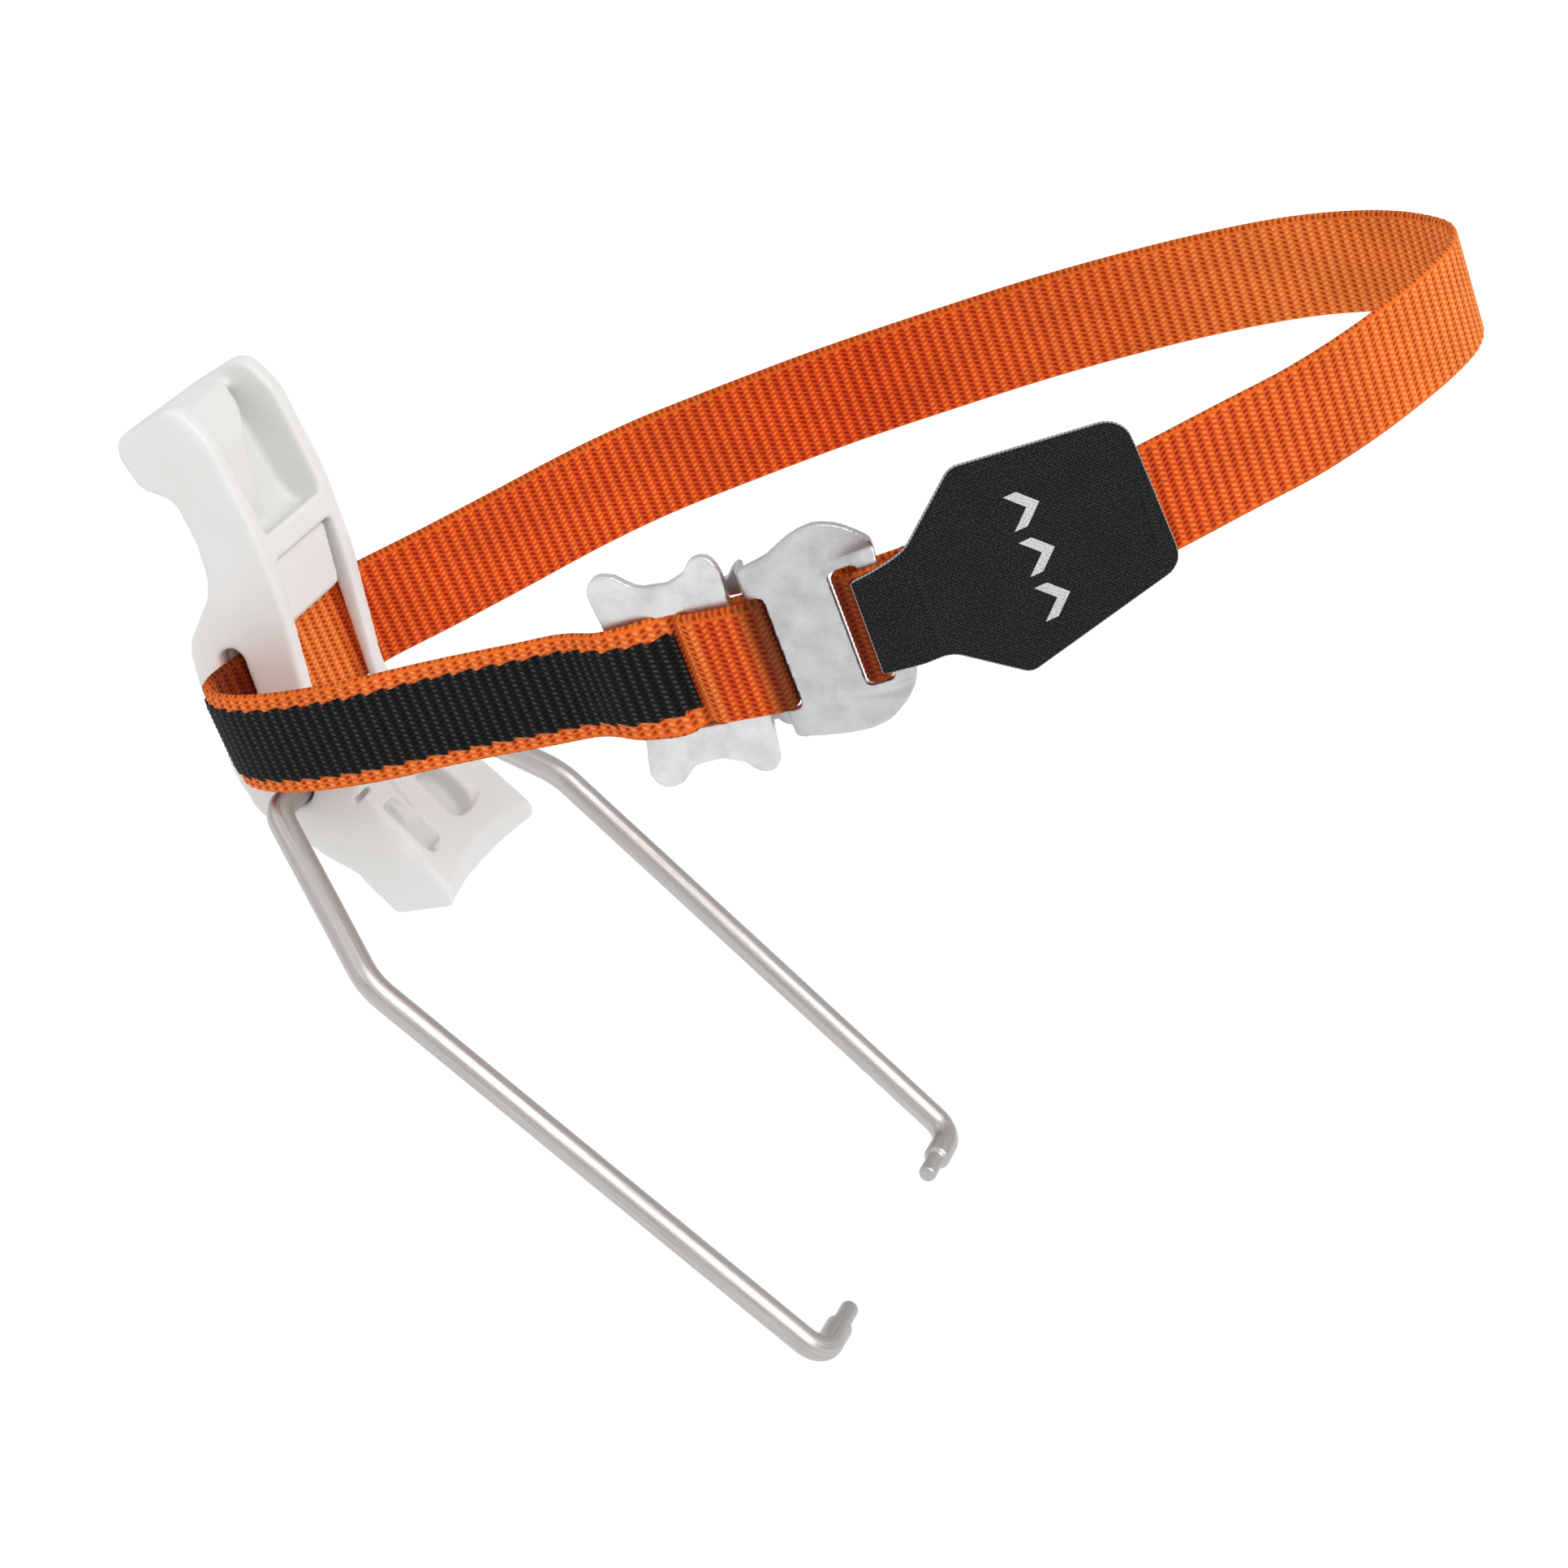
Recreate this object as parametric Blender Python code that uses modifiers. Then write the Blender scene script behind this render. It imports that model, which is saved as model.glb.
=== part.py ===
"""Heel binding of a crampon: a wire heel bail, a moulded lever that swings on it, and the ankle strap
with its two-plate buckle.

Frame: metres, +Z up, +X towards the toe of the boot, +Y to the wearer's left.  The origin is midway
between the two pins of the bail, where the binding plugs into the crampon.  Lengths below are in
millimetres and become metres where an object is made.
"""
import math

import bmesh
import bpy
from mathutils import Matrix, Vector

MM = 0.001
GAP = 0.3                               # clearance between neighbouring solids

# ---- bail: stainless wire, 3/16 in
WIRE_RADIUS = 2.38
PIN_RADIUS = 1.6
PIN_TIP = 21.4                          # half distance between the pin ends
PIN_SHOULDER = 27.6
BAIL_FOOT = 36.0                        # half width at the lower bends
BAIL_ELBOW = (-78.0, 40.4, 59.0)
BAIL_CORNER = 23.4                      # half width of the closed end
PIVOT = (-102.1, 78.6)                  # x and z of the bar that the lever swings on

# ---- lever
LEVER_HALF_WIDTH = 14.0
HORN_HALF_WIDTH = 17.6
FLANGE = 3.5
CHANNEL_HALF = LEVER_HALF_WIDTH - FLANGE
HOLE_RADIUS = WIRE_RADIUS + GAP
HEEL_ARC_RADIUS = 62.0
HEEL_ARC_X = -75.5                      # the middle of the hollow between the horns

# ---- strap: 3/4 in webbing lying on one tilted plane
STRAP_ORIGIN = (-113.0, -21.0, 89.85)
STRAP_TILT = 18.4                       # degrees, nose up
STRAP_LEAN = 5.8                        # degrees, far side up
WEB_HALF = 9.5
WEB_THICK = 1.5
TAPE_HALF = 6.8
TAPE_THICK = 0.5
SLOT_WIDTH = 4.8

# ---- buckle: stamped aluminium
PLATE = 1.6
LAY = PLATE / 2 + GAP + WEB_THICK / 2   # from the middle of a plate to the middle of webbing on it
WING_ORIGIN = (86.2, -4.4)
WING_ANGLE = 2.0
WING_HALF = 19.2
WING_LEFT = (-6.3, -1.8)                # the two bars of the wing plate, along it
WING_RIGHT = (8.7, 15.7)
WING_LEAN = 1.7                         # how far the lower wings lie back of the upper ones
WING_DROP = 0.8                         # and how much lower they reach
FRAME_ORIGIN = (103.9, -3.12)
FRAME_ANGLE = 16.0
FRAME_LEFT_SLOT = (-7.6, 3.1)
FRAME_SLOT = (13.7, 18.4)
LOOSE = 1.5                             # how far the webbing stands off the frame's right bar
FRAME_LENGTH = 21.8
FRAME_EDGE = [(-1.6, 13.0), (0.2, 14.9), (3.1, 15.7), (5.8, 16.2), (9.0, 17.7), (11.5, 18.6), (15.0, 18.8),
              (18.4, 17.2), (20.6, 14.9), (22.1, 12.0), (22.6, 7.0), (22.6, 0.0), (22.4, -7.0), (21.3, -11.1),
              (19.6, -13.4), (15.4, -16.3), (11.5, -16.8), (7.1, -16.2), (2.9, -15.1), (-0.3, -14.4),
              (-2.0, -13.2)]
TURN = LAY                              # radius of webbing round a bar
TAB_ANGLE = 35.6
TAB_THICK = 0.8
TAB_EDGE = [(-7.6, 8.4), (-3.0, 9.4), (3.2, 11.1), (13.8, 20.3), (42.0, 16.4), (43.9, -10.3), (15.5, -16.5),
            (4.6, -7.8), (-7.6, -7.3)]
TAB_RADII = [0.5, 4, 6, 3, 5, 3.5, 2.5, 6, 0.5]
SLIDE = 1.9                             # free travel of the wing plate


def clear_scene():
    for thing in list(bpy.data.objects):
        bpy.data.objects.remove(thing, do_unlink=True)


def new_collection(name):
    collection = bpy.data.collections.new(name)
    bpy.context.scene.collection.children.link(collection)
    return collection


def make_material(name, color, roughness, metallic=0.0):
    material = bpy.data.materials.new(name)
    material.use_nodes = True
    shader = material.node_tree.nodes["Principled BSDF"]
    shader.inputs["Base Color"].default_value = (*color, 1.0)
    shader.inputs["Roughness"].default_value = roughness
    shader.inputs["Metallic"].default_value = metallic
    return material


def rounded(corners, radius, closed=True, steps=4):
    """The polyline through the corners with each corner turned into an arc.  radius is one number or
    one for each corner."""
    count = len(corners)
    points = []
    for index in range(count):
        here = Vector(corners[index])
        size = radius[index] if isinstance(radius, (list, tuple)) else radius
        if not closed and index in (0, count - 1) or size <= 0.0:
            points.append(here)
            continue
        back = (Vector(corners[index - 1]) - here)
        ahead = (Vector(corners[(index + 1) % count]) - here)
        half = back.angle(ahead) / 2
        reach = min(size / math.tan(half), 0.48 * back.length, 0.48 * ahead.length)
        size = reach * math.tan(half)
        back.normalize()
        ahead.normalize()
        centre = here + (back + ahead).normalized() * (size / math.sin(half))
        start = here + back * reach - centre
        sweep = math.pi - 2 * half
        for step in range(steps + 1):
            part = step / steps
            end = here + ahead * reach - centre
            blend = (start * math.sin((1 - part) * sweep) + end * math.sin(part * sweep)) / math.sin(sweep)
            points.append(centre + blend)
    return points


def smooth(points, spacing):
    """A Catmull-Rom curve through the points, read about every `spacing` along it."""
    knots = [Vector(point) for point in points]
    knots = [2 * knots[0] - knots[1]] + knots + [2 * knots[-1] - knots[-2]]
    curve = []
    for index in range(1, len(knots) - 2):
        before, start, end, after = knots[index - 1:index + 3]
        bend = 2 * before - 5 * start + 4 * end - after
        twist = 3 * start - before - 3 * end + after
        steps = max(1, round((end - start).length / spacing))
        for step in range(steps):
            t = step / steps
            curve.append(0.5 * (2 * start + (end - before) * t + bend * t ** 2 + twist * t ** 3))
    curve.append(knots[-2])
    return curve


def offset(path, distance):
    """The path moved sideways, to its right, by distance."""
    moved = []
    for index, point in enumerate(path):
        before = path[max(index - 1, 0)]
        after = path[min(index + 1, len(path) - 1)]
        along = (after - before).normalized()
        moved.append(point + Vector((along.y, -along.x)) * distance)
    return moved


def on_line(origin, angle, along, out=0.0):
    """A point of the strap plane given along a plate, and outwards from the plate's middle."""
    turn = math.radians(angle)
    return Vector((origin[0] + along * math.cos(turn) + out * math.sin(turn),
                   origin[1] + along * math.sin(turn) - out * math.cos(turn)))


def on_wing(along, out=0.0):
    return on_line(WING_ORIGIN, WING_ANGLE, along, out)


def on_frame(along, out=0.0):
    return on_line(FRAME_ORIGIN, FRAME_ANGLE, along, out)


def evaluated_mesh(thing):
    graph = bpy.context.evaluated_depsgraph_get()
    return bpy.data.meshes.new_from_object(thing.evaluated_get(graph))


def outline_mesh(name, outlines, half):
    """A flat 2D curve, filled and extruded by half each way along its own Z, as a closed mesh."""
    curve = bpy.data.curves.new(name + "_outline", "CURVE")
    curve.dimensions = "2D"
    curve.fill_mode = "BOTH"
    curve.extrude = half * MM
    for outline in outlines:
        spline = curve.splines.new("POLY")
        spline.points.add(len(outline) - 1)
        spline.use_cyclic_u = True
        for point, place in zip(spline.points, outline):
            point.co = (place[0] * MM, place[1] * MM, 0.0, 1.0)
    holder = bpy.data.objects.new(name + "_holder", curve)
    bpy.context.scene.collection.objects.link(holder)
    bpy.context.view_layer.update()
    mesh = evaluated_mesh(holder)
    bpy.data.objects.remove(holder, do_unlink=True)
    work = bmesh.new()
    work.from_mesh(mesh)
    bmesh.ops.remove_doubles(work, verts=work.verts, dist=1e-6)
    bmesh.ops.recalc_face_normals(work, faces=work.faces)
    work.to_mesh(mesh)
    work.free()
    mesh.name = name
    return mesh


def add_object(name, mesh, collection, material=None, parent=None, matrix=None):
    thing = bpy.data.objects.new(name, mesh)
    collection.objects.link(thing)
    if material:
        mesh.materials.clear()
        mesh.materials.append(material)
    if parent:
        thing.parent = parent
    if matrix:
        thing.matrix_local = matrix
    return thing


def add_cutter(name, mesh, parent=None, matrix=None):
    cutter = add_object(name, mesh, cutters, parent=parent, matrix=matrix)
    cutter.hide_render = True
    cutter.display_type = "WIRE"
    return cutter


def boolean(target, cutter, operation="DIFFERENCE"):
    modifier = target.modifiers.new(cutter.name, "BOOLEAN")
    modifier.operation = operation
    modifier.object = cutter


def smooth_shading(thing, angle=35.0):
    thing.data.shade_smooth()
    thing.data.set_sharp_from_angle(angle=math.radians(angle))


def side_matrix():
    """Local X and Y of an outline become world X and Z; its extrusion runs along world Y."""
    return Matrix.Rotation(math.radians(90.0), 4, "X")


def cylinder_mesh(name, radius, length, vertices=32):
    work = bmesh.new()
    bmesh.ops.create_cone(work, cap_ends=True, segments=vertices, radius1=radius * MM, radius2=radius * MM,
                          depth=length * MM)
    mesh = bpy.data.meshes.new(name)
    work.to_mesh(mesh)
    work.free()
    return mesh


def box_mesh(name, size):
    work = bmesh.new()
    bmesh.ops.create_cube(work, size=1.0)
    bmesh.ops.scale(work, vec=Vector(size) * MM, verts=work.verts)
    mesh = bpy.data.meshes.new(name)
    work.to_mesh(mesh)
    work.free()
    return mesh


# ------------------------------------------------------------------ bail

def make_bail():
    """One bent wire.  Its closed end is the bar that the lever swings on; its two ends turn inwards
    and step down to pins."""
    elbow = Vector(BAIL_ELBOW)
    half = [Vector((PIVOT[0], 0.0, PIVOT[1])), Vector((PIVOT[0], BAIL_CORNER, PIVOT[1])), elbow,
            Vector((0.0, BAIL_FOOT, 0.0)), Vector((0.0, PIN_SHOULDER, 0.0))]
    bent = rounded(half, [0.0, 4.8, 12.0, 5.5, 0.0], closed=False, steps=7)
    radii = [WIRE_RADIUS] * len(bent)
    bent += [Vector((0.0, PIN_SHOULDER - 0.8, 0.0)), Vector((0.0, PIN_TIP + 0.6, 0.0)),
             Vector((0.0, PIN_TIP, 0.0))]
    radii += [PIN_RADIUS, PIN_RADIUS, PIN_RADIUS - 0.4]
    near = [Vector((point.x, -point.y, point.z)) for point in bent[1:]]
    points = near[::-1] + bent
    radii = radii[:0:-1] + radii
    curve = bpy.data.curves.new("heel_bail", "CURVE")
    curve.dimensions = "3D"
    curve.bevel_depth = WIRE_RADIUS * MM
    curve.bevel_resolution = 3
    curve.use_fill_caps = True
    spline = curve.splines.new("POLY")
    spline.points.add(len(points) - 1)
    for point, place, radius in zip(spline.points, points, radii):
        point.co = (*(place * MM), 1.0)
        point.radius = radius / WIRE_RADIUS
    bail = bpy.data.objects.new("heel_bail", curve)
    parts.objects.link(bail)
    curve.materials.append(steel)
    return bail


# ------------------------------------------------------------------ lever

LEVER_SIDE = [(-121.5, 145.8), (-115.5, 140.6), (-107.5, 124.5), (-103.5, 112.0), (-98.5, 88.0),
              (-73.3, 65.4), (-72.3, 62.6), (-84.0, 58.6), (-90.5, 65.0), (-97.5, 67.6), (-109.5, 73.0),
              (-114.5, 79.5), (-120.5, 94.5), (-122.0, 102.0), (-117.0, 113.0), (-119.0, 121.5),
              (-122.5, 128.5), (-128.5, 129.5), (-133.8, 137.3)]
LEVER_RADII = [4, 6, 20, 40, 14, 1, 1, 1.5, 6, 12, 6, 12, 7, 7, 9, 12, 4, 4, 3.5]
SCOOP = [(-135.0, 142.2), (-128.4, 139.8), (-121.5, 133.0), (-116.5, 124.0), (-112.5, 119.0),
         (-106.0, 124.5), (-98.0, 130.0), (-98.0, 153.0), (-135.0, 153.0)]
CHANNEL = [(-96.0, 118.4), (-113.6, 118.4), (-113.9, 112.5), (-118.6, 102.5), (-117.6, 96.0),
           (-113.8, 85.5), (-111.0, 82.2), (-90.0, 82.2)]
INSERT = [(-106.6, 118.1), (-104.3, 107.4), (-106.0, 105.3), (-113.4, 105.3), (-115.7, 101.5), (-114.8, 95.5),
          (-112.2, 87.3), (-109.0, 84.5), (-112.9, 86.2), (-117.3, 96.1), (-118.2, 102.4), (-113.6, 112.2),
          (-113.3, 118.1)]


def flat_front(half_width, outline_height):
    """Front view of the lever: straight flanks above, flaring to the horns below."""
    top, start, bottom = outline_height
    right = [(half_width, top), (half_width, start), (half_width + 1.2, start - 9.0),
             (HORN_HALF_WIDTH, 64.0), (HORN_HALF_WIDTH - 0.6, bottom)]
    return right + [(-y, z) for y, z in reversed(right)]


def strap_turn():
    """Rotation of the strap plane: nose up about Y, then far side up about its own length."""
    return Matrix.Rotation(math.radians(-STRAP_TILT), 3, "Y") @ Matrix.Rotation(math.radians(STRAP_LEAN), 3, "X")


def slot_centre(route, side_y, lift):
    """World point (mm) where the webbing crosses a flange at side_y, raised by lift across the webbing."""
    turn = strap_turn()
    places = [Vector(STRAP_ORIGIN) + turn @ Vector((point.x, point.y, lift)) for point in route]
    places = [place for place in places if place.x < -85.0]
    return min(places, key=lambda place: abs(place.y - side_y))


def make_lever(route):
    side = rounded(LEVER_SIDE, LEVER_RADII, steps=4)
    body = add_object("lever_body", outline_mesh("lever_body", [side], HORN_HALF_WIDTH), parts,
                      white_plastic, matrix=side_matrix())
    front = rounded(flat_front(LEVER_HALF_WIDTH, (150.0, 90.0, 50.0)), 5.0, steps=3)
    front_mesh = outline_mesh("lever_front_view", [front], 80.0)
    facing = Matrix.Translation((-0.100, 0, 0)) @ Matrix.Rotation(math.radians(90), 4, "Z") @ side_matrix()
    boolean(body, add_cutter("lever_front_view", front_mesh, matrix=facing), "INTERSECT")
    for name, outline, radii, half in (("lever_scoop", SCOOP, [2, 4, 14, 9, 4, 3, 1, 1, 1], CHANNEL_HALF),
                                       ("lever_channel", CHANNEL, [0, 0.5, 2, 6, 6, 3, 3, 0], CHANNEL_HALF)):
        mesh = outline_mesh(name, [rounded(outline, radii, steps=4)], half)
        boolean(body, add_cutter(name, mesh, matrix=side_matrix()))
    hole = Matrix.Translation(Vector((PIVOT[0], 0.0, PIVOT[1])) * MM) @ side_matrix()
    boolean(body, add_cutter("bar_hole", cylinder_mesh("bar_hole", HOLE_RADIUS, 60.0), matrix=hole))
    for name, side in (("near_slot", -1), ("far_slot", 1)):
        height = 2 * WEB_HALF + 3.2
        centre = slot_centre(route, side * (LEVER_HALF_WIDTH - 1.0), 0.5)
        centre.y = side * (LEVER_HALF_WIDTH - FLANGE / 2)
        place = Matrix.Translation(centre * MM) @ Matrix.Rotation(math.radians(1.8 - STRAP_TILT), 4, "Y")
        corners = [(-SLOT_WIDTH / 2, -height / 2), (SLOT_WIDTH / 2, -height / 2),
                   (SLOT_WIDTH / 2, height / 2), (-SLOT_WIDTH / 2, height / 2)]
        mesh = outline_mesh(name, [rounded(corners, [1.2, 1.2, 2.2, 2.2], steps=4)], 4.5)
        boolean(body, add_cutter(name, mesh, matrix=place @ side_matrix()))
    arc = Matrix.Translation(Vector((HEEL_ARC_X + HEEL_ARC_RADIUS, 0.0, 60.0)) * MM)
    boolean(body, add_cutter("heel_arc", cylinder_mesh("heel_arc", HEEL_ARC_RADIUS, 60.0, 160), matrix=arc))
    head = Vector(LEVER_SIDE[4])
    run = (Vector(LEVER_SIDE[5]) - head).normalized()
    slope = Matrix.Rotation(math.atan2(-run.y, run.x), 4, "Y")
    for name, along, y, size, depth in (("deep_pocket", 21.5, 3.6, (10.5, 7.5), 5.0),
                                        ("key_slot", 21.4, -11.7, (11.5, 2.8), 3.0),
                                        ("thin_groove", 22.1, -16.2, (8.5, 1.2), 1.5)):
        centre = Vector((head.x + along * run.x, y, head.y + along * run.y)) * MM
        corners = [(-size[0] / 2, -size[1] / 2), (size[0] / 2, -size[1] / 2),
                   (size[0] / 2, size[1] / 2), (-size[0] / 2, size[1] / 2)]
        mesh = outline_mesh(name, [rounded(corners, min(size) * 0.4, steps=3)], depth)
        boolean(body, add_cutter(name, mesh, matrix=Matrix.Translation(centre) @ slope))
    smooth_shading(body)
    insert_mesh = outline_mesh("lever_insert", [rounded(INSERT, 1.0, steps=2)], CHANNEL_HALF - GAP)
    insert = add_object("lever_insert", insert_mesh, parts, white_plastic, matrix=side_matrix())
    smooth_shading(insert)
    return body, insert


# ------------------------------------------------------------------ strap

def strap_route():
    """The middle of the webbing on the strap plane, from the sewn end round the frame's right bar,
    round the front, through the lever and back to the buckle."""
    bar = FRAME_SLOT[1] - GAP
    line = math.radians(TAB_ANGLE)
    inner = Vector((math.cos(line), math.sin(line)))
    root = on_frame(FRAME_LENGTH + 1.5, LAY)
    below = Vector((-math.sin(line), math.cos(line))) * (WEB_THICK + GAP)
    sewn = [root + inner * 30.0 + below, root + inner * 18.0 + below, root + inner * 8.0 + below * 1.2,
            on_frame(FRAME_LENGTH, -TURN)]
    turn = [on_frame(bar - LOOSE - TURN * math.sin(math.radians(step)), -TURN * math.cos(math.radians(step)))
            for step in (0, 30, 60, 90, 120, 150, 180)]
    outer = [on_frame(FRAME_LENGTH - 1.0, LAY), root + inner * 4.0, root + inner * 16.0, root + inner * 32.0]
    loop = [(164, 30.4), (173, 39), (181.5, 47), (189, 57), (195, 67.5), (199.3, 77), (201.6, 86),
            (200.2, 94.5), (194, 101.5), (186, 107), (177, 110.8), (166, 113.3), (152, 113.6), (137, 112),
            (121, 108.7), (103, 103), (83, 95.5), (63, 85.5), (52, 79), (42, 70.5), (31, 58.5),
            (20.5, 47.5), (12.6, 40), (9.8, 36), (8.6, 31), (5.8, 20.5), (3.2, 11), (1.6, 7),
            (0.5, 4), (0.7, 0.8), (3.6, -2.3), (8.5, -5.0), (15, -6.8), (24, -7.6), (33.5, -7.3),
            (43, -5.9), (53, -4.9), (63, -4.4), (71, -3.8)]
    over = [on_wing(-10.3, 0.4), on_wing(-8.0, 1.5), on_wing(-6.0, LAY + 0.1), on_wing(-3.5, LAY),
            on_wing(-0.3, LAY), on_wing(1.9, LAY * 0.55), on_wing(3.6, 0.0), on_wing(5.2, -LAY * 0.6),
            on_wing(7.6, -LAY), on_wing(12.0, -LAY)]
    right = WING_RIGHT[1] + SLIDE + GAP
    round_bar = [on_wing(right + TURN * math.sin(math.radians(step)), -TURN * math.cos(math.radians(step)))
                 for step in (0, 30, 60, 90, 120, 150, 180)]
    left = WING_RIGHT[0] - GAP
    back = [on_wing(12.5, LAY)]
    back += [on_wing(left - TURN * math.sin(math.radians(step)), TURN * math.cos(math.radians(step)))
             for step in (0, 27, 54, 80)]
    stretches = [sewn + turn[:1], turn, turn[-1:] + outer + [Vector(point) for point in loop] + over + round_bar[:1],
                 round_bar, round_bar[-1:] + back[:2], back[1:]]
    route = []
    for points, spacing in zip(stretches, (3.0, 1.0, 2.6, 1.0, 3.0, 1.0)):
        piece = smooth(points, spacing)
        route += piece if not route else piece[1:]
    return route


def ribbon_mesh(name, path, half, thickness):
    left = offset(path, thickness / 2)
    right = offset(path, -thickness / 2)
    return outline_mesh(name, [left + right[::-1]], half)


def nearest_index(route, target):
    return min(range(len(route)), key=lambda index: (route[index] - Vector(target)).length)


def make_strap(holder, route):
    add_object("ankle_strap", ribbon_mesh("ankle_strap", route, WEB_HALF, WEB_THICK), parts, orange,
               parent=holder)
    first = nearest_index(route, (0.45, 3.4))
    last = nearest_index(route, on_wing(3.6, 0.0))
    tape_path = offset(route, WEB_THICK / 2 + GAP + TAPE_THICK / 2)[first:last + 1]
    add_object("centre_tape", ribbon_mesh("centre_tape", tape_path, TAPE_HALF, TAPE_THICK), parts, black,
               parent=holder)


# ------------------------------------------------------------------ buckle

def plate_matrix(origin, angle):
    """Local X along the plate, local Y across the webbing, local Z through the plate."""
    place = Matrix.Translation(Vector((origin[0], origin[1], 0.0)) * MM)
    return place @ Matrix.Rotation(math.radians(angle), 4, "Z") @ Matrix.Rotation(math.radians(90), 4, "X")


def make_wing_plate(holder):
    half = WING_HALF
    left, right = WING_LEFT[0], WING_RIGHT[1]
    crown = [(left, 9.0), (left - 0.6, half - 2.4), (left + 1.8, half), (left + 4.8, half - 0.8),
             (left + 8.0, half - 3.6), (right - 9.0, half - 3.9), (right - 5.6, half - 2.6), (right - 3.4, half),
             (right - 0.2, half - 0.6), (right + 0.5, half - 4.0), (right, 9.0)]
    lower = [(x - WING_LEAN, -y - WING_DROP) for x, y in crown[1:-1]]
    lower = [(left, -9.0)] + lower + [(right, -9.0)]
    outline = rounded(crown + lower[::-1], 3.0, steps=3)
    window = rounded([(WING_LEFT[1], -10.0), (WING_RIGHT[0], -10.0), (WING_RIGHT[0], 10.0),
                      (WING_LEFT[1], 10.0)], 1.2, steps=3)
    mesh = outline_mesh("buckle_wing_plate", [outline, window], PLATE / 2)
    plate = add_object("buckle_wing_plate", mesh, parts, aluminium, parent=holder,
                       matrix=plate_matrix(WING_ORIGIN, WING_ANGLE))
    bevel = plate.modifiers.new("rounded_edges", "BEVEL")
    bevel.width = 0.35 * MM
    bevel.segments = 1
    bevel.limit_method = "ANGLE"
    bevel.angle_limit = math.radians(60)
    smooth_shading(plate)


def make_frame(holder):
    """The frame's side view is one bent strip: a bar behind the webbing, a step, and the main plate."""
    back = 2 * LAY
    step_at = WING_RIGHT[1] + SLIDE + GAP + 0.2
    middle = [on_wing(6.8, -back), on_wing(step_at - 0.4, -back), on_wing(step_at + 0.9, 0.1),
              on_frame(FRAME_LENGTH)]
    path = rounded(middle, [0, 0.9, 0.9, 0], closed=False, steps=4)
    strip = ribbon_mesh("buckle_frame", path, 20.0, PLATE)
    frame = add_object("buckle_frame", strip, parts, aluminium, parent=holder)
    bar = rounded([(-2.0, -12.8), (-14.0, -12.8), (-16.5, -11.0), (-16.5, 11.0), (-14.0, 12.8), (-2.0, 12.8)],
                  1.5, closed=False, steps=3)
    outline = bar + smooth(FRAME_EDGE, 1.2)
    shape = add_cutter("frame_outline", outline_mesh("frame_outline", [outline], 15.0), parent=holder,
                       matrix=plate_matrix(FRAME_ORIGIN, FRAME_ANGLE))
    boolean(frame, shape, "INTERSECT")
    low = -WEB_HALF - GAP
    for name, (first, last), high in (("frame_left_slot", FRAME_LEFT_SLOT, WEB_HALF + GAP),
                                      ("frame_right_slot", FRAME_SLOT, WEB_HALF + 0.9)):
        corners = [(first, low), (last, low), (last, high), (first, high)]
        mesh = outline_mesh(name, [rounded(corners, 0.8, steps=3)], 15.0)
        boolean(frame, add_cutter(name, mesh, parent=holder, matrix=plate_matrix(FRAME_ORIGIN, FRAME_ANGLE)))
    smooth_shading(frame)


def make_tab(holder):
    """A flat fabric patch on the outside of the sewn end, with a neck at the buckle, and its bar tacks."""
    line = math.radians(TAB_ANGLE)
    inner = Vector((math.cos(line), math.sin(line)))
    out = Vector((math.sin(line), -math.cos(line)))
    layer = WEB_THICK / 2 + GAP + TAB_THICK / 2
    root = on_frame(FRAME_LENGTH + 1.5, LAY)
    bend = root + out * layer
    path = [on_frame(17.3, LAY + layer), bend, bend + inner * 45.0]
    strip = ribbon_mesh("strap_tab", rounded(path, [0, 6.0, 0], closed=False, steps=4), 20.0, TAB_THICK)
    tab = add_object("strap_tab", strip, parts, black_fabric, parent=holder)
    outline = rounded(TAB_EDGE, TAB_RADII, steps=4)
    mesh = outline_mesh("tab_outline", [outline], 12.0)
    shape = add_cutter("tab_outline", mesh, parent=holder, matrix=plate_matrix(bend, TAB_ANGLE))
    boolean(tab, shape, "INTERSECT")
    raised = layer + TAB_THICK / 2 + GAP + 0.25
    behind = -(WEB_THICK + GAP + WEB_THICK / 2 + GAP + 0.25)
    for name, along, height in (("neck_bar_tack", 3.4, raised), ("end_bar_tack", 41.3, raised),
                                ("sewn_end_tack", 20.0, behind)):
        centre = root + inner * along + out * height
        tack = box_mesh(name, (1.8, 13.0 if name != "end_bar_tack" else 11.0, 0.5))
        thing = add_object(name, tack, parts, black_thread, parent=holder, matrix=plate_matrix(centre, TAB_ANGLE))
        bevel = thing.modifiers.new("soft_edges", "BEVEL")
        bevel.width = 0.15 * MM
        bevel.segments = 1


# ------------------------------------------------------------------ build

clear_scene()
parts = new_collection("crampon_heel_binding")
cutters = new_collection("cutters")
steel = make_material("stainless_wire", (0.52, 0.50, 0.48), 0.32, 1.0)
white_plastic = make_material("white_plastic", (0.80, 0.80, 0.78), 0.45)
orange = make_material("orange_webbing", (0.80, 0.17, 0.02), 0.85)
black = make_material("black_webbing", (0.018, 0.018, 0.021), 0.85)
black_fabric = make_material("black_fabric", (0.03, 0.03, 0.035), 0.9)
black_thread = make_material("black_thread", (0.02, 0.02, 0.022), 0.8)
aluminium = make_material("satin_aluminium", (0.62, 0.63, 0.64), 0.38, 1.0)

strap_plane = bpy.data.objects.new("strap_plane", None)
parts.objects.link(strap_plane)
strap_plane.location = Vector(STRAP_ORIGIN) * MM
strap_plane.rotation_euler = (math.radians(STRAP_LEAN), math.radians(-STRAP_TILT), 0.0)
bpy.context.view_layer.update()

webbing = strap_route()
make_bail()
make_lever(webbing)
make_strap(strap_plane, webbing)
make_wing_plate(strap_plane)
make_frame(strap_plane)
make_tab(strap_plane)
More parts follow.
